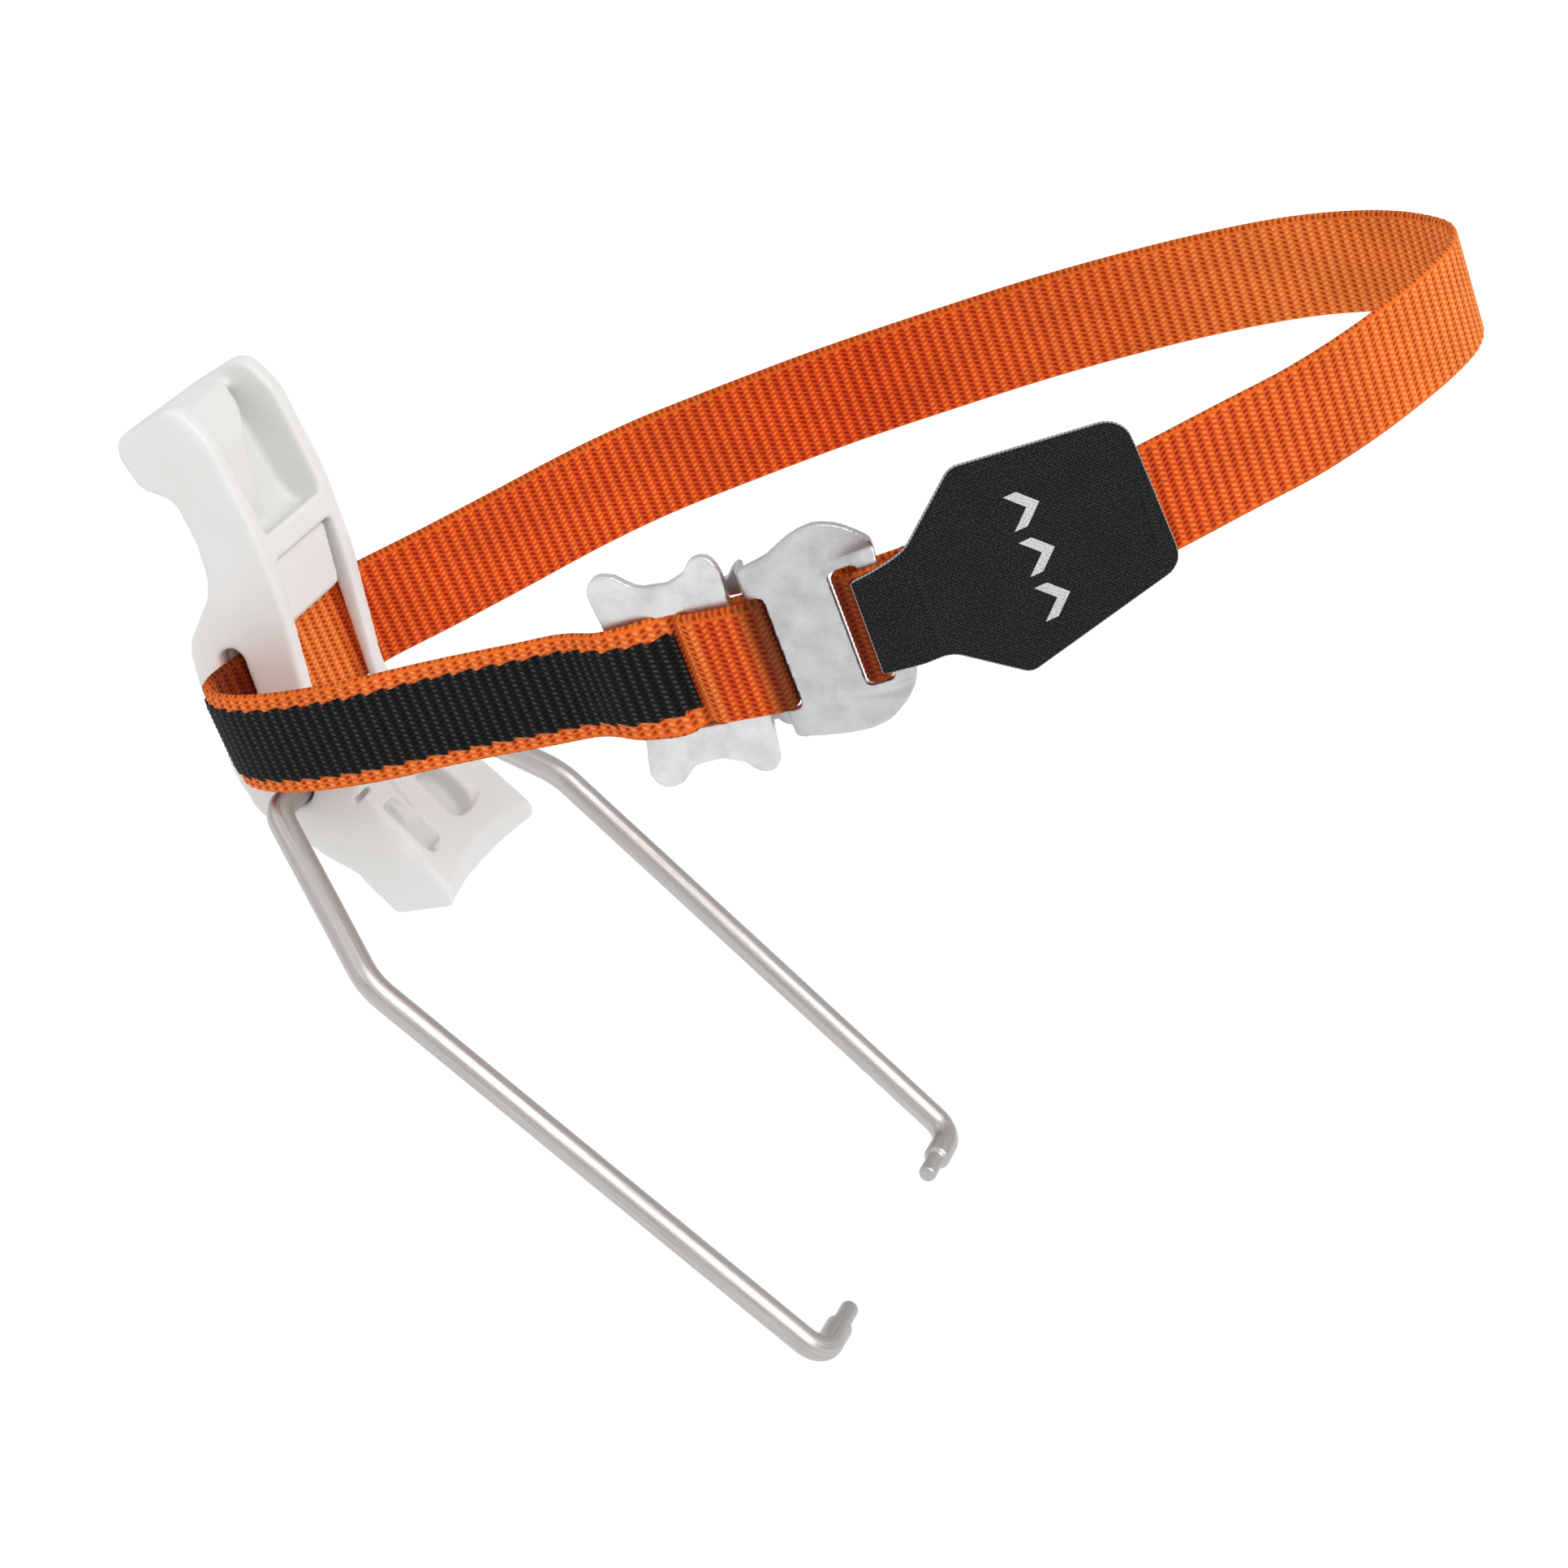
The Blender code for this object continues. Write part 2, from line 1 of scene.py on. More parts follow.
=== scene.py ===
"""The looks of the crampon heel binding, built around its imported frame.

Objects are in metres.  Lengths and points in the code are in millimetres and become metres in
mesh_object().  Points of the strap are (u, v) on its tilted plane, as in the part's own source, and w
is across the webbing.  The UV map "lay" holds millimetres along a piece and across it.
"""
import math

import bmesh
import bpy
import numpy as np
from mathutils import Matrix, Vector


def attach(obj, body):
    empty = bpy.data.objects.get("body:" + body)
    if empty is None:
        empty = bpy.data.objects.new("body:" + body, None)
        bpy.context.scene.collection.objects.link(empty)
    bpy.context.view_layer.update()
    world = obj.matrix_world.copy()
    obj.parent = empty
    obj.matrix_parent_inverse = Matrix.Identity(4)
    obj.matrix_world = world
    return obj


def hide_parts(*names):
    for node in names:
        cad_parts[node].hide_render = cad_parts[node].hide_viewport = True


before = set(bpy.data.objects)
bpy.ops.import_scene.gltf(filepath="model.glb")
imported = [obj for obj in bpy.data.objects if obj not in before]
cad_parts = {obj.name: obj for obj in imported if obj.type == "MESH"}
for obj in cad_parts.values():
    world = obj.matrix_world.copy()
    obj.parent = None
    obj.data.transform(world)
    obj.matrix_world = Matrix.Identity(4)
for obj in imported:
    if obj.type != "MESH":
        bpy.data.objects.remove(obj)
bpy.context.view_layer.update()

MM = 0.001
GAP = 0.3                       # clearance between neighbouring pieces

# ---- bail
WIRE_RADIUS = 2.38
PIN_RADIUS = 1.6
PIN_TIP = 21.4                  # y of the pin's end
PIN_SHOULDER = 27.6             # y of the step where the wire narrows to the pin
BAIL_FOOT = 36.0                # y of the leg's lower end
BAIL_ELBOW = (-78.0, 40.4, 59.0)
BAIL_CORNER = 23.4              # y of the corner beside the lever
BAIL_BENDS = [0.0, 4.8, 12.0, 5.5, 0.0]  # bend radius at each point of half the bail, from the middle
BAIL_SIDES = 40
PIVOT = (-102.1, 78.6)          # x and z of the bar that the lever swings on
PIN_PROFILE = [                 # y and radius from the shoulder to the pin's tip
    (PIN_SHOULDER - 0.25, WIRE_RADIUS - 0.1), (PIN_SHOULDER - 0.5, WIRE_RADIUS - 0.35),
    (PIN_SHOULDER - 0.7, PIN_RADIUS + 0.1), (PIN_SHOULDER - 0.9, PIN_RADIUS), (PIN_TIP + 0.6, PIN_RADIUS),
    (PIN_TIP + 0.25, PIN_RADIUS - 0.15), (PIN_TIP, PIN_RADIUS - 0.45)]

# ---- lever
LEVER_EASE = (0.5, 12)          # voxel size and smoothing passes of the whole lever
CARVED_EASE = (0.36, 3)         # the same, once its pockets are cut
TONGUE_EASE = (0.3, 3)
SLOPE_HEAD = (-98.5, 88.0)      # x and z of the top and the foot of the sloping pad
SLOPE_FOOT = (-73.3, 65.4)
POCKETS = [                     # outline (down the slope, across), and how deep each corner of it goes
    ([(12.5, -1.8), (25.2, -1.8), (26.5, 0.2), (26.7, 4.8), (25.7, 9.2), (14.0, 10.0)],
     [4.6, 4.6, 3.8, 1.8, 0.1, 0.1]),
    ([(15.6, -14.2), (19.7, -13.7), (21.6, -12.3), (25.8, -11.2), (26.6, -9.8), (25.8, -8.0), (20.7, -8.4),
      (15.6, -9.8)],
     [3.6, 4.4, 4.8, 4.2, 3.0, 0.3, 0.3, 0.8]),
    ([(16.2, -17.9), (27.2, -17.3), (27.2, -15.9), (16.2, -16.3)], [2.6, 1.8, 0.4, 0.8]),
    ([(13.0, -7.6), (18.9, -8.5), (19.0, -7.3), (13.0, -6.2)], [2.0, 1.6, 0.2, 0.2]),
    ([(11.3, -12.5), (11.3, -20.0), (12.2, -20.0), (12.2, -12.5)], [2.6, 2.6, 2.6, 2.6])]
SCOOP_RISE = [                  # x and z of the scoop's fill, and how far across each corner reaches
    (-112.6, 117.8, 1.5), (-114.3, 124.5, 1.5), (-115.9, 130.5, 2.0), (-117.2, 135.6, 3.5),
    (-119.6, 138.6, 6.5), (-124.2, 140.9, 10.5), (-129.0, 140.5, 10.5), (-130.0, 138.0, 10.5),
    (-123.0, 131.6, 4.0), (-117.6, 122.6, 1.5)]
SCOOP_NEAR_SIDE = 11.0          # the fill begins this far to the near side of the middle
TONGUE_SLIT = [                 # x and y of the joint line over the tongue
    (-112.0, -9.4), (-100.0, -9.4), (-100.0, 9.0), (-112.0, 9.0)]
SLIT_LEVEL = 118.3              # its z
SLIT_HALF = 0.3                 # half its height
TONGUE_PULL = (4.0, 9.0, 1.3)   # between these y the tongue's far edge comes in by this much

# ---- strap plane and webbing
STRAP_ORIGIN = (-113.0, -21.0, 89.85)
STRAP_TILT = 18.4               # degrees, as are all angles here
STRAP_LEAN = 5.8
WEB_HALF = 9.5                  # half the webbing's width
WEB_THICK = 1.5                 # the room it takes up
WEB_BODY = 0.64                 # half the thickness of its body, without the ribs
WEB_RELIEF = 0.17               # how far its ribs stand out
WEB_EDGE = 0.8                  # width of the rounding at its borders
RIB = 2.2                       # along the webbing, from one rib to the next
YARN = 0.94                     # across it, between yarns that rise in the same rib
TAPE_HALF = 6.8
TAPE_BODY = 0.24
TAPE_RELIEF = 0.13
TAPE_EDGE = 0.5
TAPE_RIB = 2.0                  # the tape's sizes mean what the webbing's do
TAPE_LIFT = 0.84                # from the webbing's middle to the tape's
TAPE_JAG = 0.8                  # how far its sawtooth border goes in and out
BAND_SHIFT = 0.2                # the whole band sits this much up its plane
NECK_SHIFT = 1.2                # and this much more by the tab and at its sewn end
NECK_NARROWING = 1.1            # what each border loses there
WING_BULGE = (1.2, 0.8)         # how far its low and high borders bulge where it meets the wing plate
BULGE_PLACE = (5.0, 9.0)        # how far past the meeting, and how far along
FOLD_WIDENING = 0.6             # what its high border gains behind the wing plate
SLOT_SWELL = 0.65               # how much fuller its turns are in the buckle's slots
SLOT_SHADE = (0.8, 4.2)           # painted shade: how dark the webbing is painted in the frame's slot, and how far along
LEVER_SHADE = (0.85, 5.5)         # the same painted shade in the lever
FOLD_SHADE = 0.9                  # how dark the painted shade is at the fold
TIP_MIX = 0.4                   # how much paler orange the rib tops take beside the tape's teeth
PALE_BORDER = (8.4, 8.9, 0.45)  # between these distances from the middle it turns this much paler
DOTTED_RIM = (9.05, 9.35, 0.65)  # and between these it turns this much darker, in dots
PAINTED_LIGHT_ALONG = [                      # painted light: how much brighter and yellower the strap's orange is painted at places (mm) along it
    (0, 0.1), (90, 0.1), (125, 0.35), (160, 0.95), (215, 0.8), (245, 0.35), (290, 0.0), (330, 0.1),
    (395, 0.1), (400, 0.75), (411, 0.75), (416, 0.1), (424, 0.1), (430, 0.6), (505, 0.5), (543, 0.5),
    (549, 0.1), (553, 0.1), (555, 0.6)]

# ---- buckle
PLATE = 1.6
PLATE_EASE = (0.26, 4)
LAY = PLATE / 2 + GAP + WEB_THICK / 2  # from the middle of a plate to the middle of webbing on it
TURN = LAY                      # radius of webbing round a bar
WING_ORIGIN = (86.2, -4.4)
WING_ANGLE = 2.0
WING_RIGHT = (8.7, 15.7)        # the right bar's two edges
FRAME_ORIGIN = (103.9, -3.12)
FRAME_ANGLE = 16.0
FRAME_SLOT = (13.7, 18.4)       # the right slot's two edges
FRAME_LENGTH = 21.8
FRAME_LOBES = [                 # a point of each lobe's crease, the way across it, and the lobe's side
    ((12.8, 12.4), (0.51, -0.86), 1), ((12.5, -11.6), (0.314, 0.95), -1)]
LOBE_SLOPE = 0.32               # how fast a lobe drops beyond its crease
LOBE_DROP = 1.6                 # the most it drops
LOOSE = 1.5                     # how far the webbing stands off the frame's right bar
SLIDE = 1.9                     # free travel of the wing plate

# ---- tab and its stitches
TAB_ANGLE = 35.6
TAB_THICK = 0.8
TAB_EDGE = [(-7.6, 8.4), (-3.0, 9.4), (3.2, 11.1), (13.8, 20.3), (42.0, 16.4), (43.9, -10.3), (15.5, -16.5),
            (4.6, -7.8), (-7.6, -7.3)]
TAB_RADII = [0.5, 4, 6, 3, 5, 3.5, 2.5, 6, 0.5]
TAB_BEND = 6.0                  # radius of the bend from the frame to the sewn end
TAB_COLUMNS = 96                # points across its mesh
TAB_SPACING = 0.3               # from one row of them to the next
TAB_RIM = (0.3, 0.72)           # width of its thinner rim, and the share of its thickness left there
RIM_SPACING = 0.45              # along its pale cut edge
RIM_RADIUS = 0.24
CHEVRON = [(-2.4, -3.0), (0.6, 0.0), (-2.4, 3.0), (-0.2, 3.0), (2.8, 0.0), (-0.2, -3.0)]
CHEVRON_PLACES = (-6.6, 1.4, 9.4)  # across the tab
CHEVRON_ALONG = 22.5
THREAD_RADIUS = 0.15
STITCH = 0.34                   # from one stitch of a bar tack to the next
STITCH_REACH = 0.85             # half the tack's width


# ---------------------------------------- paths

def rounded(corners, radius, closed=True, steps=4):
    """The polyline through the corners with each corner turned into an arc."""
    count = len(corners)
    points = []
    for index in range(count):
        here = Vector(corners[index])
        size = radius[index] if isinstance(radius, (list, tuple)) else radius
        if not closed and index in (0, count - 1) or size <= 0.0:
            points.append(here)
            continue
        back = Vector(corners[index - 1]) - here
        ahead = Vector(corners[(index + 1) % count]) - here
        half = back.angle(ahead) / 2
        reach = min(size / math.tan(half), 0.48 * back.length, 0.48 * ahead.length)
        size = reach * math.tan(half)
        back.normalize()
        ahead.normalize()
        centre = here + (back + ahead).normalized() * (size / math.sin(half))
        start = here + back * reach - centre
        end = here + ahead * reach - centre
        sweep = math.pi - 2 * half
        for step in range(steps + 1):
            part = step / steps
            mixed = start * math.sin((1 - part) * sweep) + end * math.sin(part * sweep)
            points.append(centre + mixed / math.sin(sweep))
    return points


def smooth(points, spacing):
    """A Catmull-Rom curve through the points, read about every `spacing` along it."""
    knots = [Vector(point) for point in points]
    knots = [2 * knots[0] - knots[1]] + knots + [2 * knots[-1] - knots[-2]]
    curve = []
    for index in range(1, len(knots) - 2):
        before, start, end, after = knots[index - 1:index + 3]
        bend = 2 * before - 5 * start + 4 * end - after
        twist = 3 * start - before - 3 * end + after
        steps = max(1, round((end - start).length / spacing))
        for step in range(steps):
            t = step / steps
            curve.append(0.5 * (2 * start + (end - before) * t + bend * t ** 2 + twist * t ** 3))
    curve.append(knots[-2])
    return curve


def on_line(origin, angle, along, out=0.0):
    """A point of the strap plane, from its place along a plate and out of the loop."""
    turn = math.radians(angle)
    return Vector((origin[0] + along * math.cos(turn) + out * math.sin(turn),
                   origin[1] + along * math.sin(turn) - out * math.cos(turn)))


def on_wing(along, out=0.0):
    return on_line(WING_ORIGIN, WING_ANGLE, along, out)


def on_frame(along, out=0.0):
    return on_line(FRAME_ORIGIN, FRAME_ANGLE, along, out)


# the strap's loop: from the tab round the front, back to the lever, through it and on to the buckle
LOOP = [(164, 30.4), (173, 39), (181.5, 47), (189, 57), (195, 67.5), (199.3, 77), (201.6, 86), (200.2, 94.5),
        (194, 101.5), (186, 107), (177, 110.8), (166, 113.3), (152, 113.6), (137, 112), (121, 108.7),
        (103, 103), (83, 95.5), (63, 85.5), (52, 79), (42, 70.5), (31, 58.5), (20.5, 47.5), (12.6, 40),
        (9.8, 36), (8.6, 31), (5.8, 20.5), (3.2, 11), (1.6, 7), (0.5, 4), (0.7, 0.8), (3.6, -2.3),
        (8.5, -5.0), (15, -6.8), (24, -7.6), (33.5, -7.3), (43, -5.9), (53, -4.9), (63, -4.4), (71, -3.8)]
# its way over and through the wing plate, as (along, out) of that plate
OVER_WING = [(-10.3, 0.4), (-8.0, 1.5), (-6.0, LAY + 0.1), (-3.5, LAY), (-0.3, LAY), (1.9, LAY * 0.55),
             (3.6, 0.0), (5.2, -LAY * 0.6), (7.6, -LAY), (12.0, -LAY)]


def tab_frame():
    """The sewn end's direction, the direction out of the loop there, and the point it starts from."""
    line = math.radians(TAB_ANGLE)
    inner = Vector((math.cos(line), math.sin(line)))
    out = Vector((math.sin(line), -math.cos(line)))
    root = on_frame(FRAME_LENGTH + 1.5, LAY)
    return inner, out, root


def round_bar(on_plate, edge, way, start, steps):
    """Points round a bar of a plate: way is 1 past its right edge and -1 past its left, and start is the
    face it begins on, 1 for the outer."""
    turns = [math.radians(step) for step in steps]
    return [on_plate(edge + way * TURN * math.sin(turn), start * TURN * math.cos(turn)) for turn in turns]


def strap_route():
    """The middle of the webbing on the strap plane: from the sewn end round the frame's right bar, round
    the front, through the lever and back round the buckle."""
    inner, out, root = tab_frame()
    below = -out * (WEB_THICK + GAP)
    sewn = [root + inner * 30.0 + below, root + inner * 18.0 + below, root + inner * 8.0 + below * 1.2,
            on_frame(FRAME_LENGTH, -TURN)]
    half_turn = range(0, 181, 30)
    bar = FRAME_SLOT[1] - GAP - SLOT_SWELL / 2
    turn = round_bar(on_frame, bar - LOOSE, -1, -1, half_turn)
    outer = [on_frame(FRAME_LENGTH - 1.0, LAY), root + inner * 4.0, root + inner * 16.0, root + inner * 32.0]
    over = [on_wing(along, lift) for along, lift in OVER_WING]
    fold = round_bar(on_wing, WING_RIGHT[1] + SLIDE + GAP + SLOT_SWELL, 1, -1, half_turn)
    back = [on_wing(12.5, LAY)] + round_bar(on_wing, WING_RIGHT[0] - GAP, -1, 1, (0, 27, 54, 80))
    ahead = turn[-1:] + outer + [Vector(point) for point in LOOP] + over + fold[:1]
    stretches = [sewn + turn[:1], turn, ahead, fold, fold[-1:] + back[:2], back[1:]]
    route = []
    for points, spacing in zip(stretches, (3.0, 1.0, 2.6, 1.0, 3.0, 1.0)):
        piece = smooth(points, spacing)
        route += piece if not route else piece[1:]
    return route


STRAP_TURN = (Matrix.Rotation(math.radians(-STRAP_TILT), 3, "Y")
              @ Matrix.Rotation(math.radians(STRAP_LEAN), 3, "X"))


def to_world(points):
    """Points (u, v, w) of the strap plane as world points, still in millimetres."""
    return np.asarray(points, float) @ np.array(STRAP_TURN).T + np.array(STRAP_ORIGIN)


# ---------------------------------------- meshes

def mesh_object(name, points, faces, uvs=None, smooth_faces=True):
    """A piece from points in millimetres; uvs holds one (u, v) for each corner of each face."""
    mesh = bpy.data.meshes.new(name)
    mesh.from_pydata((np.asarray(points) * MM).tolist(), [], faces)
    if uvs is not None:
        layer = mesh.uv_layers.new(name="lay")
        layer.data.foreach_set("uv", np.asarray(uvs, np.float32).ravel())
    if smooth_faces:
        mesh.shade_smooth()
    thing = bpy.data.objects.new(name, mesh)
    bpy.context.scene.collection.objects.link(thing)
    return thing


def apply_modifiers(thing):
    graph = bpy.context.evaluated_depsgraph_get()
    mesh = bpy.data.meshes.new_from_object(thing.evaluated_get(graph))
    thing.modifiers.clear()
    thing.data = mesh
    mesh.name = thing.name


def dress(thing, material, body, slot, *nodes):
    """Gives a piece its material and the body it rides on, and hides the CAD parts it stands for. The slot is
    not used.
    """
    thing.data.materials.clear()
    thing.data.materials.append(material)
    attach(thing, body)
    if nodes:
        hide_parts(*nodes)
    return thing


def ease(thing, voxel, passes):
    """Remeshes a closed piece evenly and rounds its edges."""
    grid = thing.modifiers.new("grid", "REMESH")
    grid.mode = "VOXEL"
    grid.voxel_size = voxel * MM
    rounding = thing.modifiers.new("ease", "SMOOTH")
    rounding.factor = 0.5
    rounding.iterations = passes
    apply_modifiers(thing)
    thing.data.shade_smooth()


def softened(name, node_name, voxel, passes, added=None):
    """A copy of a CAD solid, joined to what is added, with the soft edges of a moulded or tumbled part."""
    thing = bpy.data.objects.new(name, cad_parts[node_name].data.copy())
    bpy.context.scene.collection.objects.link(thing)
    if added:
        joined = bmesh.new()
        joined.from_mesh(thing.data)
        joined.from_mesh(added.data)
        joined.to_mesh(thing.data)
        joined.free()
        bpy.data.objects.remove(added, do_unlink=True)
    ease(thing, voxel, passes)
    return thing


def lengths_along(points):
    """How far along a polyline each of its points is."""
    return np.concatenate([[0.0], np.cumsum(np.linalg.norm(np.diff(points, axis=0), axis=1))])


def unit(vectors):
    return vectors / np.linalg.norm(vectors, axis=1)[:, None]


def swept(name, path, radii, sides, cyclic=False):
    """A tube along a path of world points; its UV is (length along it, length around it)."""
    path = np.asarray(path, float)
    count = len(path)
    radii = np.broadcast_to(np.asarray(radii, float), (count,))
    ahead = np.roll(path, -1, 0) - path
    behind = path - np.roll(path, 1, 0)
    if not cyclic:
        ahead[-1] = behind[-1]
        behind[0] = ahead[0]
    tangents = unit(unit(ahead) + unit(behind))
    side = np.cross(tangents[0], (0.0, 0.0, 1.0))
    if np.linalg.norm(side) < 0.1:
        side = np.cross(tangents[0], (1.0, 0.0, 0.0))
    lengths = lengths_along(path)
    angles = np.arange(sides) * 2 * math.pi / sides
    points = []
    for index in range(count):
        side = side - tangents[index] * np.dot(side, tangents[index])
        side /= np.linalg.norm(side)
        other = np.cross(tangents[index], side)
        ring = np.outer(np.cos(angles), side) + np.outer(np.sin(angles), other)
        points.append(path[index] + radii[index] * ring)
    faces = []
    uvs = []
    for index in range(count if cyclic else count - 1):
        following = (index + 1) % count
        for turn in range(sides):
            after = (turn + 1) % sides
            faces.append((index * sides + turn, index * sides + after, following * sides + after,
                          following * sides + turn))
            low, high = (step * 2.0 / sides * math.pi * radii[index] for step in (turn, turn + 1))
            start, end = lengths[index], lengths[following]
            uvs += [(start, low), (start, high), (end, high), (end, low)]
    if not cyclic:
        faces.append(tuple(range(sides - 1, -1, -1)))
        faces.append(tuple(range((count - 1) * sides, count * sides)))
        uvs += [(0.0, 0.0)] * sides + [(lengths[-1], 0.0)] * sides
    return mesh_object(name, np.concatenate(points), faces, uvs)


# ---------------------------------------- node materials

def blank_material(name):
    material = bpy.data.materials.new(name)
    material.use_nodes = True
    return material, material.node_tree, material.node_tree.nodes["Principled BSDF"]


def feed(tree, target, values):
    """Sets a node's inputs; a value that is a socket is linked."""
    for key, value in values.items():
        if isinstance(value, bpy.types.NodeSocket):
            tree.links.new(value, target.inputs[key])
        else:
            target.inputs[key].default_value = value


def node(tree, kind, values=None, **settings):
    made = tree.nodes.new(kind)
    for key, value in settings.items():
        setattr(made, key, value)
    feed(tree, made, values or {})
    return made


def calc(tree, operation, first, second=0.0, third=0.0):
    return node(tree, "ShaderNodeMath", {0: first, 1: second, 2: third}, operation=operation).outputs[0]


def times(tree, first, second):
    return calc(tree, "MULTIPLY", first, second)


def times_plus(tree, first, second, third):
    return calc(tree, "MULTIPLY_ADD", first, second, third)


def ramp(tree, factor, stops):
    made = node(tree, "ShaderNodeValToRGB", {"Fac": factor})
    elements = made.color_ramp.elements
    elements[0].position, elements[1].position = stops[0][0], stops[-1][0]
    elements[0].color, elements[1].color = (*stops[0][1], 1.0), (*stops[-1][1], 1.0)
    for stop, color in stops[1:-1]:
        elements.new(stop).color = (*color, 1.0)
    return made.outputs["Color"]


def ranged(tree, value, start, end, low, high):
    """The value's place between start and end, as a number from low to high."""
    return node(tree, "ShaderNodeMapRange", {0: value, 1: start, 2: end, 3: low, 4: high}).outputs[0]


def mix(tree, factor, first, second):
    made = node(tree, "ShaderNodeMix", data_type="RGBA", blend_type="MIX")
    feed(tree, made, {0: factor, 6: first, 7: second})
    return made.outputs[2]


def noise(tree, vector, scale, detail=2.0, rough=0.5):
    values = {"Vector": vector, "Scale": scale, "Detail": detail, "Roughness": rough}
    return node(tree, "ShaderNodeTexNoise", values).outputs["Fac"]


def stretched(tree, vector, scale):
    return node(tree, "ShaderNodeVectorMath", {0: vector, 1: scale}, operation="MULTIPLY").outputs[0]


def dimmed(tree, color, level):
    return node(tree, "ShaderNodeVectorMath", {0: color, 3: level}, operation="SCALE").outputs[0]


def patchy(tree, uv, stretch):
    """A level near one that drifts from place to place."""
    return times_plus(tree, noise(tree, stretched(tree, uv, stretch), 1.0, 3.0), 0.5, 0.75)


def bump(tree, height, distance, strength):
    values = {"Height": height, "Distance": distance, "Strength": strength}
    return node(tree, "ShaderNodeBump", values).outputs[0]


def object_place(tree):
    return node(tree, "ShaderNodeTexCoord").outputs["Object"]


def lay_coordinates(tree):
    """The UV map "lay", and millimetres along and across the piece."""
    uv = node(tree, "ShaderNodeUVMap", uv_map="lay").outputs[0]
    split = node(tree, "ShaderNodeSeparateXYZ", {0: uv})
    return uv, split.outputs[0], split.outputs[1]


def weave_height(tree, uv, along, across, rib):
    """High ribs and low ones in turn, with their yarns staggered, and the fine lie of the fibres."""
    turns = times(tree, along, 2 * math.pi / rib)
    first = calc(tree, "COSINE", turns)
    lean = times_plus(tree, calc(tree, "SINE", turns), 0.13, across)
    second = calc(tree, "COSINE", times(tree, lean, 2 * math.pi / YARN))
    checks = times_plus(tree, times(tree, first, second), 0.34, 0.42)
    ribs = times_plus(tree, first, 0.26, checks)
    fibres = noise(tree, stretched(tree, uv, (2.2, 15.0, 1.0)), 1.0, 2.0)
    return times_plus(tree, calc(tree, "SUBTRACT", fibres, 0.5), 0.7, ribs)


def dye(tree, color, level, height, along, across, rib):
    """The orange strap's color and level: paler borders with dark dots along the very edge, and what
    mark_strap() stores: painted light, which makes the orange brighter and yellower along stretches of it,
    painted shade, which darkens it in the slots and at the fold, and paler orange beside the tape's teeth."""
    painted_light, painted_shade, tip = (node(tree, "ShaderNodeAttribute", attribute_name=key).outputs["Fac"]
                          for key in ("painted_light", "painted_shade", "tip"))
    # painted light: a brighter, yellower orange where mark_strap() puts it
    color = mix(tree, painted_light, color, ramp(tree, height, PAINTED_LIGHT_STOPS))
    reach = calc(tree, "ABSOLUTE", across)
    start, end, most = PALE_BORDER
    color = mix(tree, ranged(tree, reach, start, end, 0.0, most), color, (*EDGE_ORANGE, 1.0))
    color = mix(tree, tip, color, (*TIP_ORANGE, 1.0))
    beat = times_plus(tree, calc(tree, "COSINE", times(tree, along, 4 * math.pi / rib)), 0.5, 0.5)
    start, end, most = DOTTED_RIM
    dots = times(tree, ranged(tree, reach, start, end, 0.0, most), beat)
    # painted shade takes up to nine tenths off the level
    kept = times(tree, calc(tree, "SUBTRACT", 1.0, dots), times_plus(tree, painted_shade, -0.9, 1.0))
    return color, times(tree, level, kept)


def webbing_material(name, rib, stops, dyed=False):
    """Ribbed webbing; a dyed one is the orange strap's."""
    material, tree, shader = blank_material(name)
    uv, along, across = lay_coordinates(tree)
    height = weave_height(tree, uv, along, across, rib)
    # darker where the weave is low: partly painted shade in the valleys between ribs and yarns, partly the
    # fibres' uneven tone
    color = ramp(tree, height, stops)
    level = patchy(tree, uv, (0.06, 0.14, 1.0))
    if dyed:
        color, level = dye(tree, color, level, height, along, across, rib)
    feed(tree, shader, {
        "Base Color": dimmed(tree, color, level), "Roughness": 0.7, "Specular IOR Level": 0.12,
        "Normal": bump(tree, height, 0.2 * MM, 0.8)})
    return material


def plastic_material():
    """Moulded plastic: faint clouds, a fine grain and soft scuffs."""
    material, tree, shader = blank_material("moulded_white_plastic")
    place = object_place(tree)
    cloud = noise(tree, place, 60.0, 3.0)
    grain = noise(tree, place, 4200.0, 2.0)
    scuffs = noise(tree, stretched(tree, place, (900.0, 900.0, 160.0)), 1.0, 4.0, 0.7)
    feed(tree, shader, {
        "Base Color": ramp(tree, cloud, PLASTIC_STOPS),
        "Roughness": ranged(tree, scuffs, 0.3, 0.7, 0.36, 0.5), "Specular IOR Level": 0.4,
        "Subsurface Weight": 0.15, "Subsurface Radius": (0.002, 0.002, 0.0018), "Subsurface Scale": 1.0,
        "Normal": bump(tree, grain, 0.012 * MM, 0.5)})
    return material


def steel_material():
    """Drawn wire: fine lines along it, and scattered dull marks."""
    material, tree, shader = blank_material("drawn_stainless_wire")
    uv = lay_coordinates(tree)[0]
    lines = noise(tree, stretched(tree, uv, (0.03, 5.0, 1.0)), 1.0, 4.0, 0.6)
    fine = noise(tree, stretched(tree, uv, (0.25, 26.0, 1.0)), 1.0, 2.0)
    marks = noise(tree, stretched(tree, uv, (0.5, 0.9, 1.0)), 1.0, 5.0, 0.65)
    grooves = times_plus(tree, fine, 0.5, lines)
    feed(tree, shader, {
        "Base Color": ramp(tree, lines, STEEL_STOPS), "Metallic": 1.0,
        "Roughness": ranged(tree, marks, 0.3, 0.75, 0.33, 0.47),
        "Normal": bump(tree, grooves, 0.03 * MM, 0.5)})
    return material


